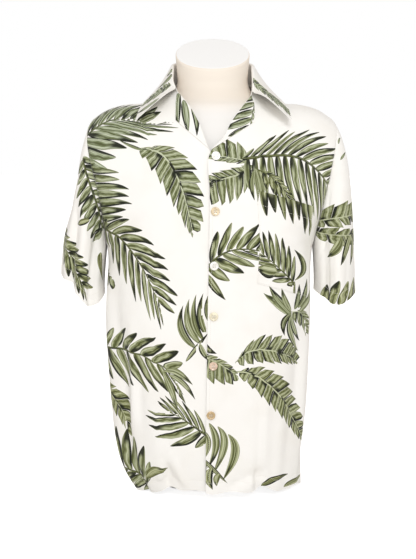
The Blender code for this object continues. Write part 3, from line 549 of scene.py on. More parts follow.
def cloud(place, scale, detail=2.0, rough=0.5):
    inputs = {"Vector": place, "Scale": scale, "Detail": detail, "Roughness": rough}
    return added(place.tree, "ShaderNodeTexNoise", inputs)


def chance(*place):
    # three even random numbers for each whole place
    noise = {"Vector": joined(*place)}
    made = added(noise["Vector"].tree, "ShaderNodeTexWhiteNoise", noise, "Color", noise_dimensions="3D")
    return made.parts("ShaderNodeSeparateColor")


def flatPlace(tree):
    return added(tree, "ShaderNodeUVMap", {}, uv_map="flat")


def objectPlace(tree):
    return added(tree, "ShaderNodeTexCoord", {}, "Object")


def bumped(height, strength, distance, **more):
    inputs = {"Strength": strength, "Distance": distance, "Height": height, **more}
    return added(height.tree, "ShaderNodeBump", inputs)


def newMaterial(name, look):
    # look gives the shader's inputs for the material's node tree
    made = bpy.data.materials.new(name)
    made.use_nodes = True
    for socket, value in look(made.node_tree).items():
        feed(made.node_tree.nodes["Principled BSDF"].inputs[socket], value)
    return made


leafInks = {
    "coolBody": (0.240, 0.285, 0.155),
    "warmBody": (0.220, 0.230, 0.075),
    "coolPale": (0.580, 0.630, 0.480),
    "warmPale": (0.530, 0.545, 0.320),
    "deep": (0.055, 0.062, 0.013),
    "dark": (0.006, 0.008, 0.003),
    "ground": (0.945, 0.930, 0.903),
    "groundShade": (0.918, 0.897, 0.860),
}
# shapes of the leaves; widths are in leaflets across and in the longest leaflet along
leafCut = {
    "swell": (0.60, 1.05, 1.60),    # how sharply fronds, broad leaves and blades taper
    "stagger": 0.45,                # of the leaflets on the left against those on the right
    "notch": 0.24,                  # most that a broad leaf is split between its leaflets
    "ribRoot": 0.040,               # half width of the rib at its root
    "ribTaper": 0.020,              # what it loses on the way to the tip
    "ribEnd": 0.96,
}


def makeLeafGroup():
    # One layer of leaves. "Place" holds where up the rib the leaflet through a point
    # starts, in leaflets, how far out along it the point lies (1 is the longest one's
    # tip) and the leaf's number, with its tone as the fraction. "Form" holds the number
    # of leaflets and their bow. "Make" holds the kind (0 feathered frond, 1 broad split
    # leaf, 2 single blade), the fullness of the leaflets and where they are longest.
    inputs = {"Place": "Vector", "Form": "Vector", "Make": "Vector", "Under": "Color"}
    tree, given, printed = nodeGroup("leafLayer", "ShaderNodeTree", inputs, {"Colour": "Color"})
    under = given.pop("Under")
    # a trace of the colour below makes the layers run one by one
    trace = {0: under, 1: (1e-7,) * 3}
    (along, across, mark), (count, _, bow), (kind, full, peak) = (
        added(tree, "ShaderNodeVectorMath", {**trace, 2: value}, operation="MULTIPLY_ADD").parts()
        for value in given.values()
    )

    number, tone = mark.maths("FLOOR"), mark.maths("FRACT")
    blade = kind.over(1.5)
    broad = kind.over(0.5) * blade.flipped()
    frond = kind.under(0.5)
    side = across.over(0.0)
    reach = across.size()
    stagger = side * leafCut["stagger"] * blade.flipped()
    waver = cloud(joined(along * 0.7, across * 1.5, number), 1.0, 1.0) - 0.5
    waver = waver * (frond * 0.5 + broad * 0.3)
    root = along - reach * reach * bow + stagger + waver * reach
    cell = root.maths("FLOOR")
    part = root - cell - 0.5
    station = ((cell + 0.5 - stagger) / count).clamped(0.001, 0.999)
    first, second, third = chance(cell, side * 3.7 + 0.5, number * 1.31)
    fourth, fifth, sixth = chance(cell + 0.5, side * 5.3 + 9.5, number * 2.17)

    # how far each leaflet reaches, and its width along its length
    evenStation = ((root - stagger) / count).clamped(0.001, 0.999)
    place = frond.between(evenStation, station)
    sharp, soft, softest = leafCut["swell"]
    swell = frond.between(blade * (softest - soft) + soft, sharp)
    falling = (place.flipped() / peak.flipped()).power(swell * peak.flipped())
    profile = (place / peak).power(swell * peak) * falling
    uneven = frond.between(first * 0.07 + 0.95, first * 0.22 + 0.84)
    limit = profile * uneven * ((part - 0.5) * broad * 0.24 + 1.0)
    tip = blade.between((reach / limit).clamped(0.0, 1.0), evenStation)
    lance = tip.power(0.38) * tip.flipped().power(0.75) * (second * 0.08 + 0.43) * 2.05 * full
    wedge = fourth.rise(0.45, 0.90) * tip.rise(fifth * 0.5 + 0.2, 1.05) * leafCut["notch"]
    halfWidth = frond.between(wedge.maths("MULTIPLY_ADD", -1.0, 0.5), lance).atLeast(0.004)
    fill = (halfWidth - part.size()).rise(-0.012, 0.025).atLeast(blade)
    leaf = fill * (reach / limit).rise(1.0, 0.97) * (root.over(0.0) * root.under(count))
    turn = blade.between(part / halfWidth, across / limit).clamped(-1.0, 1.0)

    # watercolour strokes along each leaflet
    deep, dark = leafInks["deep"], leafInks["dark"]
    body = tone.blend(leafInks["coolBody"], leafInks["warmBody"])
    pale = tone.blend(leafInks["coolPale"], leafInks["warmPale"])
    wash = cloud(joined(reach * 2.4, root * 1.4, number + side * 4.0), 1.7, 2.0, 0.6)
    drift = cloud(joined(reach * 3.2, cell * 3.3, number + 9.0), 1.0, 1.0) * (broad * -3.5 + 7.0)
    pace = second * 2.4 + 3.2 + broad * 2.4 + blade * 1.6
    stroke = (turn * pace + third * 6.28 + drift).sine() * 0.5 + 0.5
    hair = (turn * pace * 2.7 + drift * 1.7 + first * 6.0).sine() * 0.5 + 0.5
    colour = (wash.rise(0.40, 0.66) * 0.45).blend(body, pale)
    colour = (wash.rise(0.46, 0.32) * 0.40).blend(colour, deep)
    colour = (stroke.rise(0.74, 0.90) * tip.rise(1.02, 0.70) * 0.85).blend(colour, pale)
    colour = (stroke.rise(0.22, 0.08) * 0.75).blend(colour, deep)
    colour = (hair.rise(0.22, 0.06) * 0.45).blend(colour, deep)
    lit = turn * (sixth.over(0.5) * 2.0 - 1.0)
    edge = turn.size().rise(0.80, 0.90) * (lit.rise(-0.2, 0.2) * 0.65 + 0.30)
    colour = edge.blend(colour, deep)
    colour = (lit.rise(0.72, 0.86) * wash.rise(0.34, 0.48)).blend(colour, dark)
    # black-green brush marks down one side, at the tip or at the root of some leaflets
    oneSide = lit.rise(broad.between(0.46, 0.58), broad.between(0.58, 0.66))
    shadow = oneSide * first.rise(0.26, 0.28) * tip.rise(0.04, 0.20)
    atTip = tip.rise(0.60, 0.76) * second.rise(0.30, 0.34) * lit.rise(-0.9, -0.2) * broad.flipped()
    atRoot = tip.rise(0.36, 0.16) * fifth.rise(0.52, 0.56) * lit.rise(-0.7, 0.2) * blade.flipped()
    colour = (shadow.atLeast(atTip).atLeast(atRoot).clamped() * 0.95).blend(colour, dark)

    # the rib
    rest = along / count
    ribHalf = rest.clamped(0.0, 1.0) * -leafCut["ribTaper"] + leafCut["ribRoot"]
    onRib = (ribHalf - reach).rise(-0.012, 0.012) * rest.over(-0.01)
    onRib = onRib * rest.under(leafCut["ribEnd"]) * blade.flipped()
    brush = cloud(joined(along * 0.9, number, 0.5), 1.0, 1.0)
    ribColour = brush.rise(0.52, 0.62).blend(broad.blend(deep, pale), dark)
    ribColour = (reach.rise(0.014, 0.004) * frond * 0.7).blend(ribColour, body)
    beside = (reach - ribHalf * 1.5).size().rise(0.030, 0.010) * brush.rise(0.46, 0.52) * broad
    beside = beside * rest.over(0.02) * rest.under(0.9) * side
    colour = beside.blend(colour, dark)
    feed(printed, onRib.blend(leaf.blend(under, colour), ribColour))
    return tree


leafGroup = makeLeafGroup()
leafLayers = ("A", "B", "C", "D", "E", "F", "G")
leafBlank = {"Place": (-50, 3, 0), "Form": (1, 0, 0), "Make": (0, 1, 0.4)}
# the cloth's surface; scales are for each metre of it
clothLook = {
    "roughness": 0.78, "specular": 0.25, "sheen": 0.12, "sheenRoughness": 0.5,
    "mottle": 14.0,             # scale of the patches of the ground's shade
    "yarns": 11000.0,
    "slub": (40.0, 900.0),      # unevenness of the yarns along and across
    "weave": (0.10, 0.00015),   # strength and height of the relief
    "crumples": 26.0,
    "crumple": (0.30, 0.0016),
    "showThrough": 0.3,         # of the print on the cloth's back
}


def printedColour(tree):
    # warm off-white ground with the layers of leaves over it
    mottle = cloud(flatPlace(tree), clothLook["mottle"], 2.0).rise(0.4, 0.7)
    colour = mottle.blend(leafInks["ground"], leafInks["groundShade"])
    for layer in leafLayers:
        inputs = {"Under": colour}
        for part in leafBlank:
            name = "leaf" + part + layer
            inputs[part] = added(tree, "ShaderNodeAttribute", {}, "Vector", attribute_name=name)
        colour = added(tree, "ShaderNodeGroup", inputs, node_tree=leafGroup)
    return colour


def weaveRelief(tree):
    # plain weave of fine threads, with slightly uneven yarn and a soft crumple
    u, v, _ = flatPlace(tree).parts()
    along, across = clothLook["slub"]
    slub = cloud(joined(u * along, v * across, 0.0), 1.0, 1.0)
    threads = (u * clothLook["yarns"]).sine() * (v * clothLook["yarns"]).sine() * 0.5 + slub * 0.5
    crumple = cloud(joined(u, v * 0.45, 0.0), clothLook["crumples"], 2.0, 0.5)
    return bumped(threads, *clothLook["weave"], Normal=bumped(crumple, *clothLook["crumple"]))


def faceLook(tree):
    return {
        "Base Color": printedColour(tree), "Roughness": clothLook["roughness"],
        "Specular IOR Level": clothLook["specular"], "Sheen Weight": clothLook["sheen"],
        "Sheen Roughness": clothLook["sheenRoughness"], "Normal": weaveRelief(tree),
    }


def reverseLook(tree):
    # the print shows faintly through on the back of the cloth
    look = faceLook(tree)
    inputs = {0: 1 - clothLook["showThrough"], 6: look["Base Color"], 7: leafInks["groundShade"]}
    return {**look, "Base Color": added(tree, "ShaderNodeMix", inputs, 2, data_type="RGBA")}


clothFace = newMaterial("printedRayonFace", faceLook)
clothReverse = newMaterial("printedRayonReverse", reverseLook)
print("materials of the cloth made")


# Root, middle and tip of each leaf's rib as seen on the piece, the reach of its longest
# leaflets to the rib's left and right, the angle at which they leave the rib at its root
# and at its tip on each side, their bow, where along the rib they are longest, their
# number and fullness, the kind (0 frond, 1 broad) and the warmth of the green.
leafNames = (
    "x0 z0 xm zm x1 z1 left right leftRoot leftTip rightRoot rightTip bow peak count full kind tone"
)
# A blade is a single leaflet or a stem, with its half width.
bladeNames = "x0 z0 xm zm x1 z1 half tone"

# shared by the right front and the right sleeve
sideLeaf = (-226, 593, -212, 543, -194, 462, 84, 46, 66, 84, 66, 52, 0.1, 0.45, 9, 1.1, 0, 0.4)
# short blades round the foot of the pocket, on it and on the front beside it
footBlades = (
    (136, 325, 108, 350, 86, 367, 8, 0.5), (136, 325, 112, 354, 96, 379, 8, 0.4),
    (135, 332, 124, 352, 118, 374, 6, 0.5), (142, 334, 148, 352, 150, 378, 7, 0.4),
    (148, 336, 160, 356, 164, 386, 7, 0.5), (150, 328, 165, 344, 173, 370, 7, 0.5),
)
frontRightLeaves = table(
    leafNames,
    (-227, 596, -212, 640, -112, 657, 68, 104, 52, 26, 66, 22, 0.15, 0.42, 11, 1.15, 0, 0.05), sideLeaf,
    (-122, 612, -70, 582, -33, 466, 40, 40, 80, 30, 78, 30, 0, 0.45, 9, 1, 1, 0.4),
    (-192, 474, -133, 427, -88, 338, 60, 72, 78, 10, 56, 30, 0.25, 0.42, 10, 0.98, 0, 0.6),
    (-190, 257, -131, 258, -66, 220, 50, 76, 88, 30, 60, 50, 0.2, 0.46, 9, 0.95, 0, 0.6),
    (-9, 118, -49, 146, -78, 159, 66, 56, 85, 22, 45, 12, 0.2, 0.38, 6, 0.95, 0, 0.6),
    (-186, 200, -166, 160, -150, 100, 34, 26, 80, 20, 60, 20, 0, 0.45, 6, 1, 1, 0.8),
    (-114, 12, -132, 36, -166, 50, 44, 86, 60, 40, 96, 34, 0, 0.5, 8, 1.15, 0, 0.6),
    (-202, 446, -190, 418, -172, 384, 24, 36, 55, 20, 50, 20, 0.1, 0.4, 5, 1.15, 0, 0.6),
)
frontRightBlades = table(
    bladeNames,
    (-126, 658, -108, 666, -88, 674, 9, 0.3), (-84, 231, -62, 230, -34, 208, 6, 0.6),
    (-76, 225, -50, 210, -30, 182, 5, 0.6), (-80, 226, -62, 200, -46, 174, 5, 0.6),
    (-86, 230, -72, 200, -60, 160, 6, 0.6), (-118, 608, -141, 616, -162, 626, 3, 0.3),
    (-29, 272, -54, 307, -50, 347, 7, 0.6), (-21, 280, -42, 316, -40, 358, 7, 0.6),
    (-15, 286, -32, 322, -28, 366, 6, 0.6), (-8, 292, -22, 328, -16, 368, 6, 0.6),
    (-6, 318, -11, 340, -8, 364, 4, 0.6), (-46, 249, -28, 273, -7, 300, 4, 0.7),
    (-22, 280, -17, 266, -6, 250, 5, 0.6), (-117, 34, -99, 51, -78, 55, 8, 0.9),
)
frontLeftLeaves = table(
    leafNames,
    (60, 590, 23, 597, -30, 604, 17, 34, 40, 30, 84, 60, 0, 0.35, 5, 1, 1, 0.35),
    (74, 584, 33, 565, -34, 550, 50, 22, 66, 88, 50, 45, 0, 0.5, 7, 1, 1, 0.45),
    (52, 595, 143, 597, 201, 541, 74, 92, 60, 45, 80, 66, 0.15, 0.45, 13, 1, 0, 0.45),
    (72, 578, 100, 563, 136, 521, 20, 34, 34, 16, 50, 22, 0, 0.4, 7, 1.2, 0, 0.7),
    (-12, 408, 30, 440, 92, 436, 54, 64, 80, 18, 62, 14, 0.15, 0.35, 7, 1.05, 0, 0.6),
    (138, 330, 158, 320, 164, 282, 20, 24, 60, 20, 60, 25, 0.1, 0.4, 5, 1, 1, 0.5),
    (-24, 262, 8, 248, 44, 224, 16, 40, 50, 30, 80, 40, 0, 0.35, 5, 1, 1, 0.6),
    (42, 251, 88, 268, 152, 236, 34, 28, 72, 46, 74, 44, 0, 0.38, 9, 1, 1, 0.6),
    (46, 231, 104, 199, 159, 93, 32, 30, 88, 42, 76, 46, 0, 0.42, 11, 1, 1, 0.7),
)
frontLeftBlades = table(
    bladeNames,
    (72, 578, 81, 538, 80, 502, 8, 0.5), (71, 576, 66, 552, 71, 524, 5, 0.5),
    (-10, 400, 4, 377, 22, 356, 7, 0.6), (-20, 286, -8, 271, 7, 264, 6, 0.6), *footBlades,
    (135, 328, 122, 312, 124, 290, 7, 0.5), (136, 325, 134, 294, 150, 258, 7, 0.5),
    (137, 322, 140, 302, 152, 276, 6, 0.4), (-20, 131, -8, 106, -16, 76, 6, 0.7),
    (-6, 142, 6, 103, -10, 60, 7, 0.7), (9, 136, 20, 103, 0, 50, 7, 0.7),
    (27, 122, 39, 88, 17, 38, 8, 0.7), (-20, 80, 0, 60, 26, 32, 4, 0.7), (-2, 62, -8, 44, 0, 22, 8, 0.8),
    (11, 52, 6, 40, 7, 28, 6, 0.8), (-12, 72, -18, 54, -12, 30, 7, 0.8),
    (85, 22, 105, 32, 134, 36, 6, 0.9), (126, 14, 142, 19, 160, 20, 5, 0.9),
)
pocketLeaves = table(
    leafNames,
    (52, 595, 143, 597, 201, 541, 74, 126, 60, 45, 80, 66, 0.15, 0.5, 13, 1.5, 0, 0.65),
    (140, 380, 111, 410, 80, 438, 42, 58, 52, 20, 62, 36, 0.1, 0.45, 7, 1.1, 0, 0.6),
)
pocketBlades = table(
    bladeNames,
    (110, 402, 93, 405, 74, 411, 13, 0.6), (142, 385, 159, 406, 140, 439, 9, 0.7),
    (141, 384, 140, 356, 137, 326, 3, 0.7), *footBlades,
)
leftSleeveLeaves = table(
    leafNames,
    (172, 480, 214, 491, 270, 500, 30, 22, 80, 40, 70, 40, 0, 0.45, 6, 1, 1, 0.6),
    (172, 470, 214, 462, 270, 462, 18, 24, 60, 40, 70, 40, 0, 0.45, 5, 1, 1, 0.6),
    (175, 332, 208, 338, 258, 351, 50, 14, 80, 50, 60, 40, 0.1, 0.4, 7, 1.1, 0, 0.8),
)
leftSleeveBlades = table(
    bladeNames,
    (223, 459, 215, 438, 201, 422, 9, 0.7), (238, 460, 231, 433, 222, 409, 8, 0.7),
    (244, 456, 244, 431, 240, 408, 7, 0.7), (219, 619, 221, 626, 223, 629, 3, 0.3),
    (222, 591, 226, 596, 232, 605, 3, 0.3),
)
rightSleeveLeaves = table(
    leafNames,
    sideLeaf, (-272, 476, -248, 425, -222, 362, 48, 44, 48, 34, 48, 34, 0, 0.45, 10, 1.25, 0, 0.7),
)
rightSleeveBlades = table(
    bladeNames,
    (-214, 488, -226, 484, -235, 480, 6, 0.9), (-198, 429, -198, 405, -196, 376, 6, 0.9),
)
# the collar's leaves are placed on its cut cloth, across from the middle of the back
collarLeaves = table(
    leafNames,
    (206, -10, 220, -46, 234, -84, 24, 26, 70, 35, 70, 35, 0, 0.45, 5, 1, 1, 0.1),
    (206, -62, 218, -84, 232, -108, 20, 20, 60, 30, 60, 30, 0, 0.45, 5, 1, 1, 0.1),
    (-226, -24, -214, -56, -196, -98, 26, 22, 70, 35, 70, 35, 0, 0.45, 5, 1, 1, 0.1),
)
collarBlades = table(
    bladeNames,
    (-198, -20, -188, -44, -178, -70, 9, 0.1), (-174, -14, -170, -34, -160, -52, 8, 0.1),
    (-246, -62, -238, -84, -224, -110, 8, 0.1),
)
rightLapelBlades = table(
    bladeNames,
    (-58, 706, -62, 680, -58, 648, 8, 0.1), (-50, 694, -46, 668, -42, 636, 7, 0.1),
    (-36, 680, -28, 660, -27, 632, 5, 0.1),
)
leftLapelLeaves = table(
    leafNames,
    (80, 706, 70, 676, 60, 628, 6, 52, 60, 40, 66, 50, 0, 0.4, 6, 1, 0, 0.2),
)
# the parts that the front hides: the back, each sleeve's far side, placed on its cut
# cloth, and the back of the collar
backLeaves = table(
    leafNames,
    (-30, 704, -96, 668, -176, 640, 50, 46, 77, 27, 73, 23, 0.2, 0.4, 11, 1.1, 0, 0.3),
    (38, 650, 84, 668, 178, 668, 32, 34, 77, 27, 77, 27, 0.1, 0.4, 11, 1, 1, 0.4),
    (20, 618, -28, 566, -36, 470, 36, 34, 73, 23, 73, 23, 0.1, 0.4, 12, 1, 1, 0.5),
    (192, 560, 122, 552, 62, 482, 52, 56, 77, 27, 73, 23, 0.3, 0.4, 11, 1.1, 0, 0.5),
    (-196, 560, -140, 542, -86, 468, 44, 48, 77, 27, 77, 27, 0.3, 0.4, 10, 1.1, 0, 0.5),
    (30, 452, 44, 390, 100, 330, 46, 48, 69, 19, 77, 27, 0.3, 0.4, 10, 1.15, 0, 0.6),
    (-180, 420, -120, 412, -60, 356, 34, 32, 77, 27, 77, 27, 0.1, 0.4, 12, 1, 1, 0.6),
    (180, 432, 152, 380, 146, 306, 32, 34, 77, 27, 77, 27, 0.1, 0.4, 10, 1, 1, 0.6),
    (-10, 372, -22, 304, -76, 246, 50, 46, 77, 27, 73, 23, 0.2, 0.4, 10, 1.1, 0, 0.6),
    (-184, 300, -166, 238, -120, 180, 44, 46, 73, 23, 77, 27, 0.3, 0.35, 10, 1.15, 0, 0.6),
    (28, 300, 66, 246, 74, 168, 36, 34, 77, 27, 77, 27, 0.1, 0.4, 12, 1, 1, 0.7),
    (176, 262, 128, 228, 104, 150, 48, 46, 77, 27, 73, 23, 0.3, 0.4, 10, 1.1, 0, 0.6),
    (-50, 206, -30, 152, 16, 104, 34, 32, 77, 27, 73, 23, 0.1, 0.4, 10, 1, 1, 0.7),
    (-180, 136, -132, 120, -88, 60, 46, 48, 77, 27, 77, 27, 0.2, 0.4, 9, 1.1, 0, 0.7),
    (30, 110, 76, 94, 124, 40, 46, 44, 77, 27, 73, 23, 0.3, 0.4, 8, 1.15, 0, 0.7),
    (-64, 60, -24, 48, 20, 12, 28, 30, 77, 27, 77, 27, 0.1, 0.4, 8, 1, 1, 0.8),
    (150, 120, 164, 80, 160, 20, 24, 26, 77, 27, 77, 27, 0.1, 0.4, 9, 1, 1, 0.8),
)
farSleeveLeaves = table(
    leafNames,
    (232, 604, 262, 566, 280, 500, 38, 36, 76, 28, 76, 28, 0.2, 0.4, 8, 1.1, 0, 0.4),
    (312, 462, 276, 446, 236, 392, 38, 34, 76, 28, 76, 28, 0.2, 0.4, 8, 1.1, 0, 0.6),
    (240, 520, 236, 478, 246, 430, 26, 22, 76, 28, 76, 28, 0.1, 0.4, 7, 1, 1, 0.6),
    (340, 410, 318, 392, 300, 352, 24, 24, 76, 28, 76, 28, 0.1, 0.4, 6, 1, 1, 0.7),
)
collarBackLeaves = table(
    leafNames,
    (-72, 752, -30, 740, 14, 716, 24, 22, 77, 27, 77, 27, 0.1, 0.4, 7, 1, 1, 0.3),
    (84, 744, 52, 738, 22, 712, 20, 22, 77, 27, 77, 27, 0.1, 0.4, 6, 1, 1, 0.3),
)


# limits, in millimetres, on the faces that a leaf may take
leafFit = {
    "behind": 8,        # how far behind its rib a leaflet may start
    "bowRoom": 60,      # spare room past the tip for bowed leaflets
    "startJump": 30,    # most that a leaflet's start and reach may change across one face
    "outJump": 60,
}


def nearestPlace(piece, x, z, allowed=None):
    # the place on the cut cloth of a point seen at x and z
    grid = piece["grid"]
    away = np.hypot(grid[..., 0] - x, grid[..., 2] - z)
    if allowed is not None:
        away = np.where(allowed, away, 1e6)
    row, column = np.unravel_index(np.argmin(away), away.shape)
    return piece["flat"][row, column] + np.array([x - grid[row, column, 0], z - grid[row, column, 2]])


def ribLine(root, middle, tip):
    bend = 2 * middle - (root + tip) / 2
    step = np.linspace(0, 1, 25)[:, None]
    return root * (1 - step) ** 2 + bend * 2 * step * (1 - step) + tip * step ** 2


def leftOf(places, rib, way, length):
    # distance of each place to the rib's left
    flat = places.reshape(-1, 2)
    bestAway, across = np.full(len(flat), 1e9), np.zeros(len(flat))
    for number, (point, step, size) in enumerate(zip(rib[:-1], way, length)):
        offset = flat - point
        run = offset @ step
        low = -1e6 if number == 0 else 0
        high = 1e6 if number == len(length) - 1 else size
        side = step[0] * offset[:, 1] - step[1] * offset[:, 0]
        away = np.hypot(run - np.clip(run, low, high), side)
        better = away < bestAway
        bestAway = np.where(better, away, bestAway)
        across = np.where(better, np.sign(side + 1e-9) * away, across)
    return across.reshape(places.shape[:-1])


def leafletWays(places, rib, side, rootAngle, tipAngle):
    # how far up the rib the leaflet through each place starts, and how far out it lies
    step = np.linspace(-0.15, 1.15, 53)
    run = paced(rib)
    way = rib[[1, -1]] - rib[[0, -2]]
    way = way / np.linalg.norm(way, axis=1)[:, None] * run[-1]
    points = np.stack([np.interp(step, run / run[-1], rib[:, axis]) for axis in range(2)], axis=-1)
    points += np.minimum(step, 0)[:, None] * way[0] + np.maximum(step - 1, 0)[:, None] * way[1]
    heading = math.atan2(*(rib[-1] - rib[0])[::-1])
    angle = heading + side * np.radians(rootAngle + (tipAngle - rootAngle) * step)
    ways = np.stack([np.cos(angle), np.sin(angle)], axis=-1)
    offset = places.reshape(-1, 2)[:, None] - points
    miss = ways[:, 0] * offset[..., 1] - ways[:, 1] * offset[..., 0]
    away = (offset * ways).sum(axis=-1)
    share = miss[:, :-1] / np.where(miss[:, :-1] == miss[:, 1:], 1e-9, miss[:, :-1] - miss[:, 1:])
    out = away[:, :-1] * (1 - share) + away[:, 1:] * share
    crossed = (share >= 0) & (share <= 1) & (out > -leafFit["behind"])
    best = np.argmin(np.where(crossed, out, 1e6), axis=1)
    pick = np.arange(len(best)), best
    along = step[best] + (step[1] - step[0]) * share[pick]
    return [values.reshape(places.shape[:-1]) for values in (along * run[-1], out[pick], crossed[pick])]


def leafRows(leaves, blades):
    # every leaf and blade as one dictionary
    rows = [dict(zip(leaves, values)) for values in zip(*leaves.values())] if leaves else []
    for values in zip(*blades.values()) if blades else ():
        row = dict(zip(blades, values))
        row.update(left=row["half"], right=row["half"], bow=0, peak=0.375, count=1, full=1, kind=2)
        row.update({part: 90 for part in ("leftRoot", "leftTip", "rightRoot", "rightTip")})
        rows.append(row)
    return rows


def corners(values):
    return np.stack([values[:-1, :-1], values[:-1, 1:], values[1:, 1:], values[1:, :-1]], axis=-1)


def paintLeaves(piece, leaves, blades, seed, allowed=None, laidFlat=False):
    # Gives each face the leaf it belongs to. A leaf goes on a layer above those that it
    # crosses. Leaves laid flat have their places on the cut cloth instead of as seen.
    flat = piece["flat"]
    rows, columns = flat.shape[0] - 1, flat.shape[1] - 1
    if not piece["print"]:
        for layer in leafLayers:
            piece["print"][layer] = {
                part: np.tile(np.array(blank, dtype=float), (rows, columns, 4, 1))
                for part, blank in leafBlank.items()
            }
            piece["taken"][layer] = np.zeros((rows, columns), dtype=bool)

    for number, leaf in enumerate(leafRows(leaves, blades)):
        ends = [np.array([leaf["x" + end], leaf["z" + end]]) for end in "0m1"]
        if not laidFlat:
            ends = [nearestPlace(piece, *end, allowed) for end in ends]
        rib = ribLine(*ends)
        way = np.diff(rib, axis=0)
        pieces = np.linalg.norm(way, axis=1)
        length = summed(pieces)[-1]
        across = corners(leftOf(flat, rib, way / pieces[:, None], pieces))
        spacing = length / leaf["count"]
        onLeft = across.mean(axis=-1) > 0
        widest = max(leaf["left"], leaf["right"])
        sides = []
        for side, sign in (("left", 1), ("right", -1)):
            start, out, found = leafletWays(flat, rib, sign, leaf[side + "Root"], leaf[side + "Tip"])
            sides.append((corners(start), corners(out) * sign / leaf[side], corners(found)))
        start, out, found = (np.where(onLeft[..., None], left, right) for left, right in zip(*sides))
        bow = leaf["bow"] * np.where(onLeft, leaf["left"], leaf["right"]) / spacing
        place = (start.mean(axis=-1) / length).clip(0.001, 0.999)
        peak = leaf["peak"]
        swell = leafCut["swell"][int(leaf["kind"])]
        limit = ((place / peak) ** peak * ((1 - place) / (1 - peak)) ** (1 - peak)) ** swell
        reach = np.abs(out).min(axis=-1) - np.ptp(out, axis=-1) * 0.5
        own = (np.abs(across).min(axis=-1) < widest * 1.1 + 4) & found.all(axis=-1)
        own &= (reach < limit * 1.08 + 0.04) & (start.max(axis=-1) > -0.02 * length)
        own &= start.min(axis=-1) < length * 1.02 + abs(leaf["bow"]) * leafFit["bowRoom"]
        own &= np.ptp(start, axis=-1) < leafFit["startJump"]
        own &= np.ptp(out, axis=-1) * widest < leafFit["outJump"]
        if allowed is not None:
            own &= allowed[:rows, :columns]
        crossed = [np.any(piece["taken"][layer] & own) for layer in leafLayers]
        level = max([0, *(np.flatnonzero(crossed) + 1)])
        if level >= len(leafLayers):
            level = len(leafLayers) - 1
            print("  leaf", number, "of", piece["name"], "shares the top layer")
        layer = leafLayers[level]
        piece["taken"][layer] |= own
        mark = np.full_like(start, seed + number + 0.98 * leaf["tone"])
        form = np.stack([np.full_like(bow, leaf["count"]), np.zeros_like(bow), bow], axis=-1)
        values = {
            "Place": np.stack([start / spacing, out, mark], axis=-1), "Form": form[:, :, None],
            "Make": np.array([leaf["kind"], leaf["full"], leaf["peak"]]),
        }
        for part, value in values.items():
            piece["print"][layer][part][own] = np.broadcast_to(value, (rows, columns, 4, 3))[own]


def sharedNormals(pieces):
    # where pieces meet, both take the mean normal
    totals = {}
    borders = []
    for piece in pieces:
        rows, columns = piece["grid"].shape[:2]
        for row in range(rows):
            ends = () if piece["closed"] else (0, columns - 1)
            for column in ends if 0 < row < rows - 1 else range(columns):
                place = tuple(int(round(value * 20)) for value in piece["grid"][row, column])
                totals[place] = totals.get(place, 0) + piece["normals"][row, column]
                borders.append((piece, row, column, place))
    for piece, row, column, place in borders:
        piece["normals"][row, column] = totals[place] / np.linalg.norm(totals[place])


def flatOpen(grid, sign, origin=0):
    # across and up on the cut cloth, for a piece that is open all round
    step, rise = np.diff(grid, axis=1), np.diff(grid, axis=0)
    across = summed(np.hypot(step[..., 0], step[..., 1]), 1)
    across = grid[:, origin, 0][:, None] + sign * (across - across[:, origin][:, None])
    return np.stack([across, grid[:1, :, 2] + summed(np.hypot(rise[..., 1], rise[..., 2]))], axis=-1)


def flatSleeve(grid, sign):
    # a sleeve cut open at the underarm and laid out from its shoulder line
    around = np.concatenate([grid, grid[:, :1]], axis=1)
    step = np.diff(around, axis=1)
    across = summed(np.hypot(step[..., 0], step[..., 1]), 1)
    middle = around.shape[1] // 2
    across = sign * -(across - across[:, middle][:, None]) + around[:, middle, 0][:, None]
    return np.stack([across, around[0, :, 2][None, :] - paced(around)], axis=-1)


def flatCollar(grid):
    # from the middle of the back to both ends, and down from the neck seam
    across, down = paced(grid[len(grid) - collarCut["fallSteps"] // 2]), paced(grid)
    across -= across[len(across) // 2]
    return np.stack([np.broadcast_to(across, down.shape), -down], axis=-1)


def newPiece(name, grid, flat, closed=False):
    normals = outwardNormals(grid, closed)
    return {
        "name": name, "grid": grid, "flat": flat, "closed": closed, "normals": normals,
        "print": {}, "taken": {},
    }


def faceOut(mesh):
    work = bmesh.new()
    work.from_mesh(mesh)
    bmesh.ops.recalc_face_normals(work, faces=work.faces)
    if work.calc_volume(signed=True) < 0:
        bmesh.ops.reverse_faces(work, faces=work.faces)
    work.to_mesh(mesh)
    work.free()


def addObject(name, points, faces, *materials):
    mesh = bpy.data.meshes.new(name)
    mesh.from_pydata(points, [], faces)
    for made in materials:
        mesh.materials.append(made)
    mesh.shade_smooth()
    return placed(name, mesh)


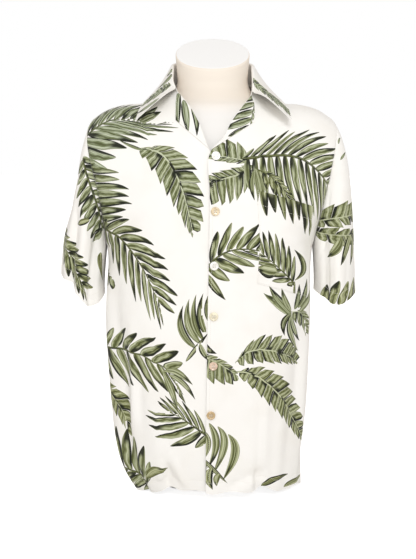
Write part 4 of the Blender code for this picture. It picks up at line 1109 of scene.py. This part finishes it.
def clothWall(piece, sunk):
    # A thin closed wall on both sides of the piece's points, with the cut cloth's places
    # as its UV map and the leaves in its corners. Edges named in "sunk" dip at their seam.
    grid, normals, flat = piece["grid"].copy(), piece["normals"], piece["flat"]
    places = {"first": np.s_[0, :], "last": np.s_[-1, :], "start": np.s_[:, 0], "end": np.s_[:, -1]}
    for edge, at in places.items():
        if edge in sunk:
            grid[at] -= normals[at] * shirtCut["seamDip"]
    rows, columns, wide = *grid.shape[:2], flat.shape[1]
    half = shirtCut["wall"] / 2
    points = np.concatenate([(grid + normals * side).reshape(-1, 3) for side in (half, -half)]) * mm
    r, c = np.meshgrid(np.arange(rows - 1), np.arange(wide - 1), indexing="ij")
    ring = [(r, c), (r, c + 1), (r + 1, c + 1), (r + 1, c)]
    front = np.stack([a * columns + b % columns for a, b in ring], axis=-1).reshape(-1, 4)
    count = len(front)
    # a face's own order decides which way it points
    middle = front[count // 2]
    probe = points[middle]
    order = np.arange(4)
    if np.dot(np.cross(probe[1] - probe[0], probe[2] - probe[0]), normals.reshape(-1, 3)[middle[0]]) < 0:
        order = order[::-1]
    back = front[:, order[::-1]] + rows * columns
    front = front[:, order]
    edges = [
        [(0, k) for k in range(wide)], [(k, wide - 1) for k in range(rows)],
        [(rows - 1, k) for k in range(wide)], [(k, 0) for k in range(rows)],
    ]
    rim, rimFlat = [], []
    for line in edges[::2] if piece["closed"] else edges:
        for a, b in zip(line, line[1:]):
            first, second = (row * columns + column % columns for row, column in (a, b))
            rim.append([first, second, second + rows * columns, first + rows * columns])
            rimFlat.append([flat[a], flat[b], flat[b], flat[a]])
    faces = np.concatenate([front, back, np.array(rim)])
    made = addObject(piece["name"], points.tolist(), faces.tolist(), clothFace, clothReverse)
    mesh = made.data
    cut = np.stack([flat[a, b] for a, b in ring], axis=-2).reshape(-1, 4, 2)
    uv = np.concatenate([cut[:, order], cut[:, order[::-1]], np.array(rimFlat)])
    mesh.uv_layers.new(name="flat").uv.foreach_set("vector", (uv * mm).astype(np.float32).ravel())
    for name in leafLayers:
        for part, blank in leafBlank.items():
            leaf = piece["print"][name][part].reshape(-1, 4, 3)
            bare = np.tile(blank, (len(rim), 4, 1))
            values = np.concatenate([leaf[:, order], leaf[:, order[::-1]], bare])
            kept = mesh.attributes.new("leaf" + part + name, "FLOAT_VECTOR", "CORNER")
            kept.data.foreach_set("vector", values.astype(np.float32).ravel())
    sides = np.repeat(np.array([0, 1, 0], dtype=np.int32), (count, count, len(rim)))
    mesh.polygons.foreach_set("material_index", sides)
    faceOut(mesh)
    mesh.set_sharp_from_angle(angle=math.radians(50))
    return made


# the collar's roll, a line half way down and its edge, from the middle of the back to each end
leftCollar = table(
    "along rollX rollY rollZ midX midY midZ edgeX edgeY edgeZ",
    (0, 0, 78, 764, 0, 92, 746, 0, 109, 708), (0.25, 43, 63.5, 763, 55, 76, 744, 74, 92, 705),
    (0.5, 67, 22, 759, 83, 27, 739, 108, 34, 701), (0.68, 68, -5, 750, 85, -6, 732, 118, -10, 697),
    (0.85, 68.5, -31, 728, 87, -48, 714, 130, -54, 680),
    (1, 67.5, -49, 709, 87, -83, 700, 134, -87, 660),
)
rightCollar = table(
    "along rollX rollY rollZ midX midY midZ edgeX edgeY edgeZ",
    (0, 0, 78, 764, 0, 92, 746, 0, 109, 708), (0.25, -43, 63.5, 763, -55, 76, 744, -74, 92, 705),
    (0.5, -67, 22, 759, -82, 27, 739, -106, 34, 701), (0.68, -68, -5, 750, -84, -6, 731, -115, -10, 697),
    (0.85, -68.5, -31, 731, -84, -49, 717, -126, -54, 679),
    (1, -63, -49.5, 715, -80, -84, 703, -131, -89, 660),
)
collarCut = {
    "rise": 1.0,             # of the collar's wall above the middle of the neckline's
    "shoulderShare": 0.6,    # where it passes the shoulder seam
    "steps": 56,             # from the middle of the back to each end
    "rollRadius": 2.6,       # of the fold at its top, and the degrees that it turns
    "rollTurn": (18, 160),
    "third": 0.34,           # where the middle line lies on the fall
    "standSteps": 8,
    "rollSteps": 9,
    "fallSteps": 30,
}
leftLapel = {"notch": (70.5, 689), "corner": (72, 657), "break": (-1, 611)}
rightLapel = {"notch": (-63, 690.5), "corner": (-63, 659), "break": (-8, 613)}
lapelCut = {
    "gorge": 0.920,          # where the gorge and the break lie, as shares of the rows
    "break": 0.712,
    "corner": 0.45,
    "rows": 44,
    "columns": 30,
    "roll": 3.0,             # how much further out it lies at its roll line
    "lift": 1.7,
}
pocketCut = {
    "topIn": (75, 541), "topOut": (174, 512), "lowIn": (75.5, 384), "lowOut": (169, 350),
    "rows": 84, "columns": 64, "lift": 1.35, "bulge": 1.3, "gape": 2.6,
}


def collarHalf(rows, frontEdge, sign):
    places = np.linspace(0, 1, collarCut["steps"] + 1)
    share = collarCut["shoulderShare"]
    back = track(backNeck, "along", np.clip(places / share, 0, 1)) * (sign, 1, 1)
    down = np.clip((places - share) / (1 - share), 0, 1)
    front = track(frontEdge, "at", 1 + (lapelCut["gorge"] - 1) * down)
    seam = np.where(places[:, None] < share, back, front) + (0, 0, collarCut["rise"])
    names = [[part + axis for axis in "XYZ"] for part in ("roll", "mid", "edge")]
    lines = [track(rows, "along", places, axes) for axes in names]
    strips = []
    for low, top, third, tip in zip(seam, *lines):
        out = third - top
        out[2] = 0
        out /= max(np.linalg.norm(out), 1e-9)
        radius = min(collarCut["rollRadius"], 0.3 * np.linalg.norm(top - low))
        centre = top - np.array([0, 0, radius]) + out * radius
        up = np.linspace(0, 0.97, collarCut["standSteps"])
        stand = [low + (centre - out * radius - low) * share for share in up]
        turns = np.radians(np.linspace(*collarCut["rollTurn"], collarCut["rollSteps"]))
        arc = [centre + radius * (np.array([0, 0, math.sin(a)]) - out * math.cos(a)) for a in turns]
        knots = np.array([0, collarCut["third"], 1])
        down = np.linspace(0.05, 1, collarCut["fallSteps"])
        begin = centre + out * radius * 1.05
        fall = [smooth(knots, np.array(axis), down) for axis in zip(begin, third, tip)]
        strips.append(np.concatenate([stand, arc, np.stack(fall, axis=-1)]))
    return np.stack(strips)


def collarSurface():
    right = collarHalf(rightCollar, rightEdge, -1)
    left = collarHalf(leftCollar, leftEdge, 1)
    return np.concatenate([right[::-1], left[1:]], axis=0).transpose(1, 0, 2)


def laidOn(surface, places, lifts):
    # points of a panel moved out by the given lifts
    def lifted(place, lift):
        point, normal = onSurface(surface, place)
        return point + normal * lift

    return np.array([[lifted(*pair) for pair in zip(*row)] for row in zip(places, lifts)])


def lapelSurface(surface, lapel):
    # rows run from the gorge down to the break, columns from the roll outwards
    rows = rowPlaces()
    topRow, lowRow = np.interp([lapelCut["gorge"], lapelCut["break"]], rows, np.arange(len(rows)))
    corner = lapelCut["corner"]
    places, lifts = [], []
    for share in np.linspace(0, 1, lapelCut["rows"] + 1):
        rollPlace = np.array([topRow + (lowRow - topRow) * share, 0.0])
        if share <= corner:
            mix, first, last = share / corner, lapel["notch"], lapel["corner"]
        else:
            mix, first, last = (share - corner) / (1 - corner), lapel["corner"], lapel["break"]
        outerPlace = findPlace(surface, *(np.array(first) + (np.array(last) - first) * mix))
        columns = np.linspace(0, 1, lapelCut["columns"] + 1)
        places.append([rollPlace + (outerPlace - rollPlace) * c for c in columns])
        roll = lapelCut["roll"] * (1 - 0.6 * share)
        lifts.append([lapelCut["lift"] + roll * (1 - c) ** 2 for c in columns])
    return laidOn(surface, places, lifts)


def pocketSurface(surface):
    topIn, topOut, lowIn, lowOut = (
        findPlace(surface, *pocketCut[name]) for name in ("topIn", "topOut", "lowIn", "lowOut")
    )
    places, lifts = [], []
    along = np.linspace(0, 1, pocketCut["columns"] + 1)
    middle = np.sin(np.pi * along)
    for up in np.linspace(0, 1, pocketCut["rows"] + 1):
        inner, outer = lowIn + (topIn - lowIn) * up, lowOut + (topOut - lowOut) * up
        places.append([inner + (outer - inner) * share for share in along])
        swell = pocketCut["bulge"] * middle ** 0.5 * fade(up, 0.0, 0.08)
        lifts.append(pocketCut["lift"] + swell + pocketCut["gape"] * up ** 6 * middle)
    return laidOn(surface, places, lifts)


# the torso form's outline at each height; slant tips a ring towards the back
formRings = table(
    "z half front back power slant",
    (0, 84, 52, 70, 2.3, 0), (3, 87, 55, 73, 2.3, 0), (30, 102, 72, 82, 2.3, 0),
    (80, 124, 90, 91, 2.3, 0), (150, 142, 97, 97, 2.3, 0), (230, 150, 98, 96, 2.3, 0),
    (310, 155, 101, 99, 2.3, 0), (380, 162, 106, 106, 2.3, 0), (430, 168, 109, 112, 2.3, 0),
    (470, 173, 109, 116, 2.3, 0), (520, 183, 105, 118, 2.2, 0), (570, 196, 97, 117, 2.1, 0),
    (610, 204, 87, 108, 2, 0), (638, 205, 77, 94, 1.9, 0), (656, 199, 68, 81, 1.8, 0),
    (670, 182, 59, 70, 1.7, 0.01), (681, 144, 53, 57, 1.7, 0.02), (688, 106, 52, 56, 1.75, 0.04),
    (697, 85, 53, 62, 1.85, 0.06), (709, 69, 54, 66, 2, 0.1), (724, 62.5, 55, 65, 2.1, 0.18),
    (742, 62.5, 55.5, 63, 2.1, 0.3), (760, 64, 57, 62, 2.1, 0.42), (773, 65, 58, 62, 2.1, 0.5),
)
formCut = {
    "steps": 144,
    "stretches": ((3, 610, 80), (610, 724, 60), (724, 773, 16)),  # heights and numbers of its rings
    "capHeight": 776,
    "edge": 3.0,          # radius of the rounded edges at its foot and cap
    "creamFrom": 664.0,   # where the form's colour fades from white to cream, going up the neck
    "creamTo": 704.0,
    # the cap's colour is its own white, raised further as painted highlight where its top is lit to white
    "white": (0.90, 0.885, 0.865), "cream": (0.895, 0.815, 0.720), "cap": (0.97, 0.97, 0.97),
}


def shrunk(ring, height, inset):
    return (height, *(size - inset for size in ring[1:4]), *ring[4:])


def coverLook(tree):
    cream = objectPlace(tree).parts()[2].rise(formCut["creamFrom"] * mm, formCut["creamTo"] * mm)
    return {
        "Base Color": cream.blend(formCut["white"], formCut["cream"]), "Roughness": 0.62,
        "Normal": bumped(cloud(objectPlace(tree), 900.0, 2.0), 0.05, 0.0002),
    }


def makeForm():
    steps, edge = formCut["steps"], formCut["edge"]
    heights = [np.linspace(*stretch)[number > 0:] for number, stretch in enumerate(formCut["stretches"])]
    rings = [
        (z, *(float(smooth(formRings["z"], sizes, z)) for sizes in list(formRings.values())[1:]))
        for z in np.concatenate(heights)
    ]
    base = [float(sizes[0]) for sizes in formRings.values()]
    turns = np.radians((0, 22, 45, 67))
    foot = [shrunk(base, edge * (1 - math.cos(a)), -edge * math.sin(a)) for a in turns]
    top = formCut["capHeight"] - edge
    turns = np.radians((20, 40, 60, 78, 90))
    rim = [shrunk(rings[-1], top + edge * math.sin(a), edge * (1 - math.cos(a))) for a in turns]
    cap = [shrunk(rim[-1], formCut["capHeight"], inset) for inset in (6, 14, 26, 42)]
    rings = foot + rings + rim + cap
    points, faces = [], []
    for z, half, front, back, power, slant in rings:
        for angle in np.linspace(0, 2 * math.pi, steps, endpoint=False):
            out, side = math.cos(angle), math.sin(angle)
            x = half * math.copysign(abs(side) ** (2 / power), side)
            y = (back if out > 0 else front) * math.copysign(abs(out) ** (2 / power), out)
            points.append((x * mm, y * mm, (z + slant * y) * mm))
    for near in range(0, (len(rings) - 1) * steps, steps):
        for step in range(steps):
            after = near + (step + 1) % steps
            faces.append((near + step, after, after + steps, near + step + steps))
    faces += [tuple(range(steps))[::-1], tuple(range((len(rings) - 1) * steps, len(rings) * steps))]
    # the cap and the top rings of the neck take the whiter cap colour: the cap's own white with painted
    # highlight on it
    capWithPaintedHighlight = newMaterial("formCapPaintedHighlight", lambda tree: {"Base Color": formCut["cap"], "Roughness": 0.5})
    made = addObject("torsoForm", points, faces, newMaterial("formCover", coverLook), capWithPaintedHighlight)
    lowest = (len(rings) - len(cap) - 3) * steps
    for number, face in enumerate(made.data.polygons):
        if number >= lowest and number != len(faces) - 2:
            face.material_index = 1
    faceOut(made.data)
    made.data.set_sharp_from_angle(angle=math.radians(40))
    return made


def clearOf(piece, form, room):
    # moves points that would lie too close to the form out to the given room
    tree = BVHTree.FromObject(form, bpy.context.evaluated_depsgraph_get())
    grid, moved = piece["grid"], 0
    for place in np.ndindex(grid.shape[:2]):
        point = Vector(grid[place] * mm)
        near, normal, _, _ = tree.find_nearest(point, 0.02)
        if near is None:
            continue
        height = (point - near).dot(normal) / mm
        if height < room:
            grid[place] += np.array(normal) * (room - height)
            moved += 1
    if moved:
        print("  moved", moved, "points of", piece["name"], "clear of the form")


# where each button sits, seen from the front, and its colour
buttonRows = table(
    "x z red green blue",
    (5.1, 599.3, 0.86, 0.85, 0.81), (4.2, 506.3, 0.62, 0.5, 0.32), (2.4, 414.5, 0.84, 0.82, 0.76),
    (1.7, 328.2, 0.76, 0.69, 0.52), (0.9, 242.3, 0.6, 0.44, 0.33), (-3.1, 155.7, 0.52, 0.37, 0.19),
)
buttonCut = {
    "diameter": 15.0, "thickness": 2.6, "rim": 1.6, "round": 0.9, "dish": 0.7,
    "hole": 1.7, "spread": 1.75,                    # the holes, and half the way between them
    "lift": 0.95,                                   # above the cloth
    "thread": 0.5, "strandGap": 0.22,
    "shank": (-2.4, -1.0), "shankRadius": 0.9,      # the thread below the button
}


def buttonMesh():
    # a turned disc with a rounded rim and a dished middle
    radius, half = buttonCut["diameter"] / 2, buttonCut["thickness"] / 2
    rim, dish, curve = buttonCut["rim"], buttonCut["dish"], buttonCut["round"]
    profile = [
        (0, -half), (radius * 0.72, -half), (radius * 0.86, -half * 0.82), (radius * 0.96, -half * 0.38),
        *((radius - curve + curve * math.cos(a), half - curve + curve * math.sin(a))
          for a in np.radians((0, 25, 50, 72, 90))),
        (radius - rim, half * 0.93), (radius - rim * 1.35, half - dish * 0.6),
        (radius - rim * 1.8, half - dish), (radius * 0.3, half - dish * 1.05), (0, half - dish * 1.05),
    ]
    work = bmesh.new()
    line = [work.verts.new((r * mm, 0, h * mm)) for r, h in profile]
    edges = [work.edges.new(pair) for pair in zip(line, line[1:])]
    bmesh.ops.spin(work, geom=line + edges, cent=(0, 0, 0), axis=(0, 0, 1), angle=2 * math.pi, steps=56)
    bmesh.ops.remove_doubles(work, verts=work.verts, dist=0.000005)
    bmesh.ops.recalc_face_normals(work, faces=work.faces)
    return meshOf("buttonBlank", work)


def holeCutter():
    work = bmesh.new()
    radius, spread = buttonCut["hole"] / 2 * mm, buttonCut["spread"] * mm
    for right, up in ((-1, -1), (-1, 1), (1, -1), (1, 1)):
        bmesh.ops.create_cone(
            work, cap_ends=True, segments=20, radius1=radius, radius2=radius, depth=0.01,
            matrix=Matrix.Translation((right * spread, up * spread, 0)),
        )
    return placed("holeCutter", meshOf("holeCutter", work))


def capsule(work, start, end, radius, sides=8):
    # a round-ended rod between two points
    way = end - start
    turn = way.to_track_quat("Z", "Y").to_matrix().to_4x4()
    rings = []
    stations = ((0, -1, 0.35), (0, -0.5, 0.85), (0, 0, 1), (1, 0, 1), (1, 0.5, 0.85), (1, 1, 0.35))
    for far, extra, share in stations:
        ring = []
        for step in range(sides):
            angle = 2 * math.pi * step / sides
            out = math.cos(angle) * radius * share, math.sin(angle) * radius * share
            ring.append(work.verts.new(start + turn @ Vector((*out, far * way.length + radius * extra))))
        rings.append(ring)
    for low, high in zip(rings, rings[1:]):
        for step in range(sides):
            after = (step + 1) % sides
            work.faces.new((low[step], low[after], high[after], high[step]))
    work.faces.new(rings[0][::-1])
    work.faces.new(rings[-1])


def buttonThread(work):
    # two pairs of strands across the dish, from hole to hole, and the shank of thread below
    spread, top = buttonCut["spread"] * mm, (buttonCut["thickness"] / 2 - buttonCut["dish"] + 0.2) * mm
    radius = buttonCut["thread"] / 2 * mm
    for side in (-1, 1):
        for shift in (-buttonCut["strandGap"], buttonCut["strandGap"]):
            x = side * spread + shift * mm
            capsule(work, Vector((x, -spread, top)), Vector((x, spread, top)), radius)
    low, high = (Vector((0, 0, height * mm)) for height in buttonCut["shank"])
    capsule(work, low, high, buttonCut["shankRadius"] * mm)


def pearlLook(colour):
    # pearly button with soft bands
    pale = tuple(min(1.0, value * 1.25 + 0.06) for value in colour)
    return lambda tree: {
        "Base Color": cloud(objectPlace(tree), 150.0, 2.0).rise(0.4, 0.62).blend(colour, pale),
        "Roughness": 0.22, "Coat Weight": 0.5, "Coat Roughness": 0.12,
    }


def settled(made):
    # the plain mesh of an object whose modifiers are done, and the object removed
    mesh = bpy.data.meshes.new_from_object(made.evaluated_get(bpy.context.evaluated_depsgraph_get()))
    bpy.data.objects.remove(made)
    return mesh


def makeButtons(surface, threadMaterial):
    blank, cutter = placed("buttonBlank", buttonMesh()), holeCutter()
    cut = blank.modifiers.new("holes", "BOOLEAN")
    cut.operation, cut.solver, cut.object = "DIFFERENCE", "EXACT", cutter
    pierced = settled(blank)
    bpy.data.objects.remove(cutter)
    pieces = []
    for number, (x, z, *colour) in enumerate(zip(*buttonRows.values()), 1):
        point, normal = onSurface(surface, findPlace(surface, x, z))
        turn = Vector(normal).to_track_quat("Z", "Y").to_matrix().to_4x4()
        middle = point + normal * (buttonCut["lift"] + buttonCut["thickness"] / 2)
        work = bmesh.new()
        work.from_mesh(pierced)
        known = len(work.faces)
        buttonThread(work)
        for index, face in enumerate(work.faces):
            face.material_index = int(index >= known)
        place = Matrix.Translation(Vector(middle * mm)) @ turn
        bmesh.ops.transform(work, matrix=place, verts=work.verts)
        mesh = meshOf(f"buttonTop{number}", work)
        mesh.materials.append(newMaterial(f"pearlButton{number}", pearlLook(tuple(colour))))
        mesh.materials.append(threadMaterial)
        mesh.shade_smooth()
        mesh.set_sharp_from_angle(angle=math.radians(35))
        pieces.append(placed(mesh.name, mesh))
    return pieces


stitchCut = {"length": 2.4, "gap": 0.9, "radius": 0.24, "edge": 5.0, "lift": 0.05}


def makeStitchNodes():
    # short round-ended threads set end to end along the piece's edges
    mesh, sizes = {"Geometry": "Geometry"}, dict.fromkeys(("Pitch", "Length", "Radius"), "Float")
    inputs = {**mesh, **sizes, "Thread": "Material"}
    tree, given, sewn = nodeGroup("stitchRow", "GeometryNodeTree", inputs, mesh)
    curve = added(tree, "GeometryNodeMeshToCurve", {"Mesh": given["Geometry"]})
    spacing = {"Curve": curve, "Length": given["Pitch"]}
    points = added(tree, "GeometryNodeCurveToPoints", spacing, mode="LENGTH")
    ball = added(tree, "GeometryNodeMeshUVSphere", {"Segments": 6, "Rings": 5, "Radius": given["Radius"]})
    tangent = Value(points.socket.node.outputs["Tangent"])
    place = added(tree, "GeometryNodeInstanceOnPoints", {
        "Points": points, "Instance": ball,
        "Scale": joined(1.0, 1.0, given["Length"] / (given["Radius"] * 2.0)),
        "Rotation": added(tree, "FunctionNodeAlignRotationToVector", {"Vector": tangent}, axis="Z"),
    })
    real = added(tree, "GeometryNodeRealizeInstances", {0: place})
    feed(sewn, added(tree, "GeometryNodeSetMaterial", {"Geometry": real, "Material": given["Thread"]}))
    return tree


def stitched(name, lines, thread, nodes):
    # one object with a row of stitches along each line of points in millimetres
    points, edges = [], []
    for line in lines:
        first = len(points)
        points += [tuple(point * mm) for point in line]
        edges += [(first + k, first + k + 1) for k in range(len(line) - 1)]
    mesh = bpy.data.meshes.new(name)
    mesh.from_pydata(points, edges, [])
    guide = placed(name + "Guide", mesh)
    maker = guide.modifiers.new("stitches", "NODES")
    maker.node_group = nodes
    values = {
        "Pitch": (stitchCut["length"] + stitchCut["gap"]) * mm, "Length": stitchCut["length"] * mm,
        "Radius": stitchCut["radius"] * mm, "Thread": thread,
    }
    for socket in nodes.interface.items_tree:
        if socket.in_out == "INPUT" and socket.name in values:
            maker[socket.identifier] = values[socket.name]
    guide.update_tag()
    made = settled(guide)
    made.name = name
    made.shade_smooth()
    return placed(name, made)


def inset(piece, away, amount, span=(0, None)):
    # a line at an even distance in from one edge, whose grid lines run away from it
    points = piece["grid"] + piece["normals"] * (shirtCut["wall"] / 2 + stitchCut["lift"])
    if away in ("start", "end"):
        points = points.swapaxes(0, 1)
    if away in ("last", "end"):
        points = points[::-1]
    made = []
    for line in points.swapaxes(0, 1)[slice(*span)]:
        length = paced(line)
        if length[-1] > amount:
            made.append([np.interp(amount, length, line[:, axis]) for axis in range(3)])
    return np.array(made)


# each cloth piece: the node it stands for, how it is held and what it rests on, the
# edges that dip at a seam, and its stitching as edge, distance in and span
hem, topstitch = shirtCut["hemDepth"], stitchCut["edge"]
cuffSeams, lapelSeams = (("last", hem),), (("end", topstitch, (2, -4)),)
clothRows = {
    "frontLeftCloth": (
        "front_left", "hung", ("torsoForm", "frontRightCloth"), ("end", "last"),
        (("first", hem), ("start", topstitch, (3, 130))),
    ),
    "frontRightCloth": ("front_right", "hung", ("torsoForm",), ("end", "last"), (("first", hem),)),
    "backCloth": ("back", "hung", ("torsoForm",), ("start", "end", "last"), (("first", hem),)),
    "leftSleeveCloth": ("sleeve_left", "hung", ("frontLeftCloth", "backCloth"), ("first",), cuffSeams),
    "rightSleeveCloth": ("sleeve_right", "hung", ("frontRightCloth", "backCloth"), ("first",), cuffSeams),
    "collarCloth": (
        "collar", "folded", ("torsoForm", "backCloth"), ("first",),
        (("last", topstitch, (2, -2)), ("start", topstitch, (20, -5)), ("end", topstitch, (20, -5))),
    ),
    "leftLapelCloth": ("lapel_left", "laid", ("frontLeftCloth",), ("first",), lapelSeams),
    "rightLapelCloth": ("lapel_right", "laid", ("frontRightCloth",), ("first",), lapelSeams),
    "pocketCloth": (
        "pocket", "laid", ("frontLeftCloth",), (),
        (("start", 2.0), ("end", 2.0), ("first", 2.0), ("last", 24.0)),
    ),
}

frontLeft = frontSurface(
    leftEdge, leftSide, leftArmhole, 1, frontLeftFolds, frontLeftHem, frontLeftCreases,
)
frontRight = frontSurface(
    rightEdge, rightSide, rightArmhole, -1, frontRightFolds, frontRightHem, frontRightCreases,
)
back = backSurface()
sleeveLeft = sleeveSurface(leftArmhole, leftCuff, 1, leftSleeveFolds, leftSleeveCreases)
sleeveRight = sleeveSurface(rightArmhole, rightCuff, -1, rightSleeveFolds, rightSleeveCreases)
pieces = {
    "frontLeftCloth": newPiece("frontLeftCloth", frontLeft, flatOpen(frontLeft, 1)),
    "frontRightCloth": newPiece("frontRightCloth", frontRight, flatOpen(frontRight, -1)),
    "backCloth": newPiece("backCloth", back, flatOpen(back, 1, back.shape[1] // 2)),
    "leftSleeveCloth": newPiece("leftSleeveCloth", sleeveLeft, flatSleeve(sleeveLeft, 1), closed=True),
    "rightSleeveCloth": newPiece("rightSleeveCloth", sleeveRight, flatSleeve(sleeveRight, -1), closed=True),
}
form = makeForm()
sharedNormals(pieces.values())
clearOfSide(pieces["leftSleeveCloth"], 1)
clearOfSide(pieces["rightSleeveCloth"], -1)
for piece in pieces.values():
    clearOf(piece, form, 1.0)
leftFace, rightFace = (
    (pieces[name]["grid"], pieces[name]["normals"]) for name in ("frontLeftCloth", "frontRightCloth")
)
collarGrid = collarSurface()
pieces["collarCloth"] = newPiece("collarCloth", collarGrid, flatCollar(collarGrid))
for name, *shape in (("leftLapelCloth", leftFace, leftLapel), ("rightLapelCloth", rightFace, rightLapel)):
    grid = lapelSurface(*shape)
    pieces[name] = newPiece(name, grid, grid[..., (0, 2)])
pocketGrid = pocketSurface(leftFace)
pieces["pocketCloth"] = newPiece("pocketCloth", pocketGrid, flatOpen(pocketGrid, 1))
clearOf(pieces["collarCloth"], form, 0.8)
print("shapes of the cloth worked out")

paintLeaves(pieces["frontLeftCloth"], frontLeftLeaves, frontLeftBlades, 10)
paintLeaves(pieces["frontRightCloth"], frontRightLeaves, frontRightBlades, 40)
paintLeaves(pieces["backCloth"], backLeaves, None, 70)
for name, leaves, blades, seed, side in (
    ("leftSleeveCloth", leftSleeveLeaves, leftSleeveBlades, 100, 1),
    ("rightSleeveCloth", rightSleeveLeaves, rightSleeveBlades, 120, -1),
):
    piece = pieces[name]
    middle = piece["grid"].shape[1] // 2
    ahead = np.zeros(piece["grid"].shape[:2], dtype=bool)
    ahead[:, middle:] = True
    paintLeaves(piece, leaves, blades, seed, ahead)
    far = dict(farSleeveLeaves)
    for key in ("x0", "xm", "x1"):
        far[key] = far[key] * side
    # the far half laid out mirrored at the shoulder line, as it is seen from behind
    shoulder = piece["grid"][:, middle, 0]
    mirrored = piece["flat"].copy()
    mirrored[..., 0] += 2 * (shoulder[0] - shoulder)[:, None]
    paintLeaves(dict(piece, flat=mirrored), far, None, seed + 12, ~ahead, True)
paintLeaves(pieces["leftLapelCloth"], leftLapelLeaves, None, 140)
paintLeaves(pieces["rightLapelCloth"], None, rightLapelBlades, 150)
paintLeaves(pieces["pocketCloth"], pocketLeaves, pocketBlades, 160)
fall = np.zeros(collarGrid.shape[:2], dtype=bool)
fall[collarCut["standSteps"] + collarCut["rollSteps"] // 2:] = True
paintLeaves(pieces["collarCloth"], collarLeaves, collarBlades, 180, fall, True)
paintLeaves(pieces["collarCloth"], collarBackLeaves, None, 190, fall & (collarGrid[..., 1] > 40))
print("leaves laid out")

cloth = {name: clothWall(pieces[name], sunk) for name, (_, _, _, sunk, _) in clothRows.items()}
print("cloth made")

thread = newMaterial("sewingThread", lambda tree: {
    "Base Color": (0.80, 0.78, 0.72), "Roughness": 0.6, "Sheen Weight": 0.3,
})
stitchNodes = makeStitchNodes()
stitches = {}
for name, (_, _, _, _, seams) in clothRows.items():
    lines = [inset(pieces[name], *seam) for seam in seams]
    stitches[name] = stitched(name.replace("Cloth", "Stitches"), lines, thread, stitchNodes)
print("stitches made")

buttons = makeButtons(leftFace, thread)
print("buttons made")


def asPart(piece, node):
    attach(piece, "root")
    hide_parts(node)


asPart(form, "dress_form")
for number, button in enumerate(buttons, 1):
    asPart(button, f"button_{number}")
for group in (stitches, cloth):
    for name, (node, *_) in clothRows.items():
        asPart(group[name], node)


whiteGround = {"floor": 0.98, "glow": 0.8, "world": 1.0, "room": 0.60, "roomColour": (1.0, 0.955, 0.90)}
lamps = {
    # place, what it points at, size, power and colour
    "keyLamp": ((0.35, -2.8, 2.1), (0, 0, 0.5), (1.2, 1.2), 42, (0.97, 0.985, 1.0)),
    "fillLamp": ((-1.5, -2.4, 1.6), (0, 0, 0.5), (1.4, 1.4), 6, (0.97, 0.985, 1.0)),
}
view = {
    "place": (-0.0081, -2.1836, 0.6441), "tilt": 83, "lens": 78.79, "sensor": 36.0, "near": 0.05, "far": 60,
}


def seenBy(tree, ray):
    return added(tree, "ShaderNodeLightPath", {}, f"Is {ray} Ray")


def floorLook(tree):
    return {
        "Base Color": (whiteGround["floor"],) * 3, "Roughness": 0.9, "Specular IOR Level": 0.0,
        "Emission Color": (1, 1, 1), "Emission Strength": seenBy(tree, "Camera") * whiteGround["glow"],
    }


def makeFloor(half=15, height=-0.0005):
    mesh = bpy.data.meshes.new("floor")
    corners = [(-half, -half), (half, -half), (half, half), (-half, half)]
    mesh.from_pydata([(*corner, height) for corner in corners], [], [(0, 1, 2, 3)])
    mesh.materials.append(newMaterial("whiteFloor", floorLook))
    placed("floor", mesh)


def makeWorld():
    world = bpy.data.worlds.new("whiteRoom")
    bpy.context.scene.world = world
    world.use_nodes = True
    tree = world.node_tree
    seen = seenBy(tree, "Camera").atLeast(seenBy(tree, "Glossy")).atLeast(seenBy(tree, "Transmission"))
    ground = tree.nodes["Background"].inputs
    feed(ground["Color"], seen.blend(whiteGround["roomColour"], (1, 1, 1)))
    feed(ground["Strength"], seen.between(whiteGround["room"], whiteGround["world"]))


def addLamp(name, place, aim, size, power, colour):
    lamp = bpy.data.lights.new(name, "AREA")
    lamp.shape = "RECTANGLE"
    lamp.size, lamp.size_y = size
    lamp.energy, lamp.color = power, colour
    made = placed(name, lamp)
    made.location = place
    made.rotation_euler = (Vector(aim) - Vector(place)).to_track_quat("-Z", "Y").to_euler()


def makeCamera():
    camera = bpy.data.cameras.new("camera")
    camera.sensor_width, camera.lens = view["sensor"], view["lens"]
    camera.clip_start, camera.clip_end = view["near"], view["far"]
    made = placed("camera", camera)
    made.location = view["place"]
    made.rotation_euler = (math.radians(view["tilt"]), 0, 0)
    bpy.context.scene.camera = made


makeFloor()
makeWorld()
for name, settings in lamps.items():
    addLamp(name, *settings)
makeCamera()
bpy.context.scene.view_settings.view_transform = "Standard"
print("floor, light and camera set")
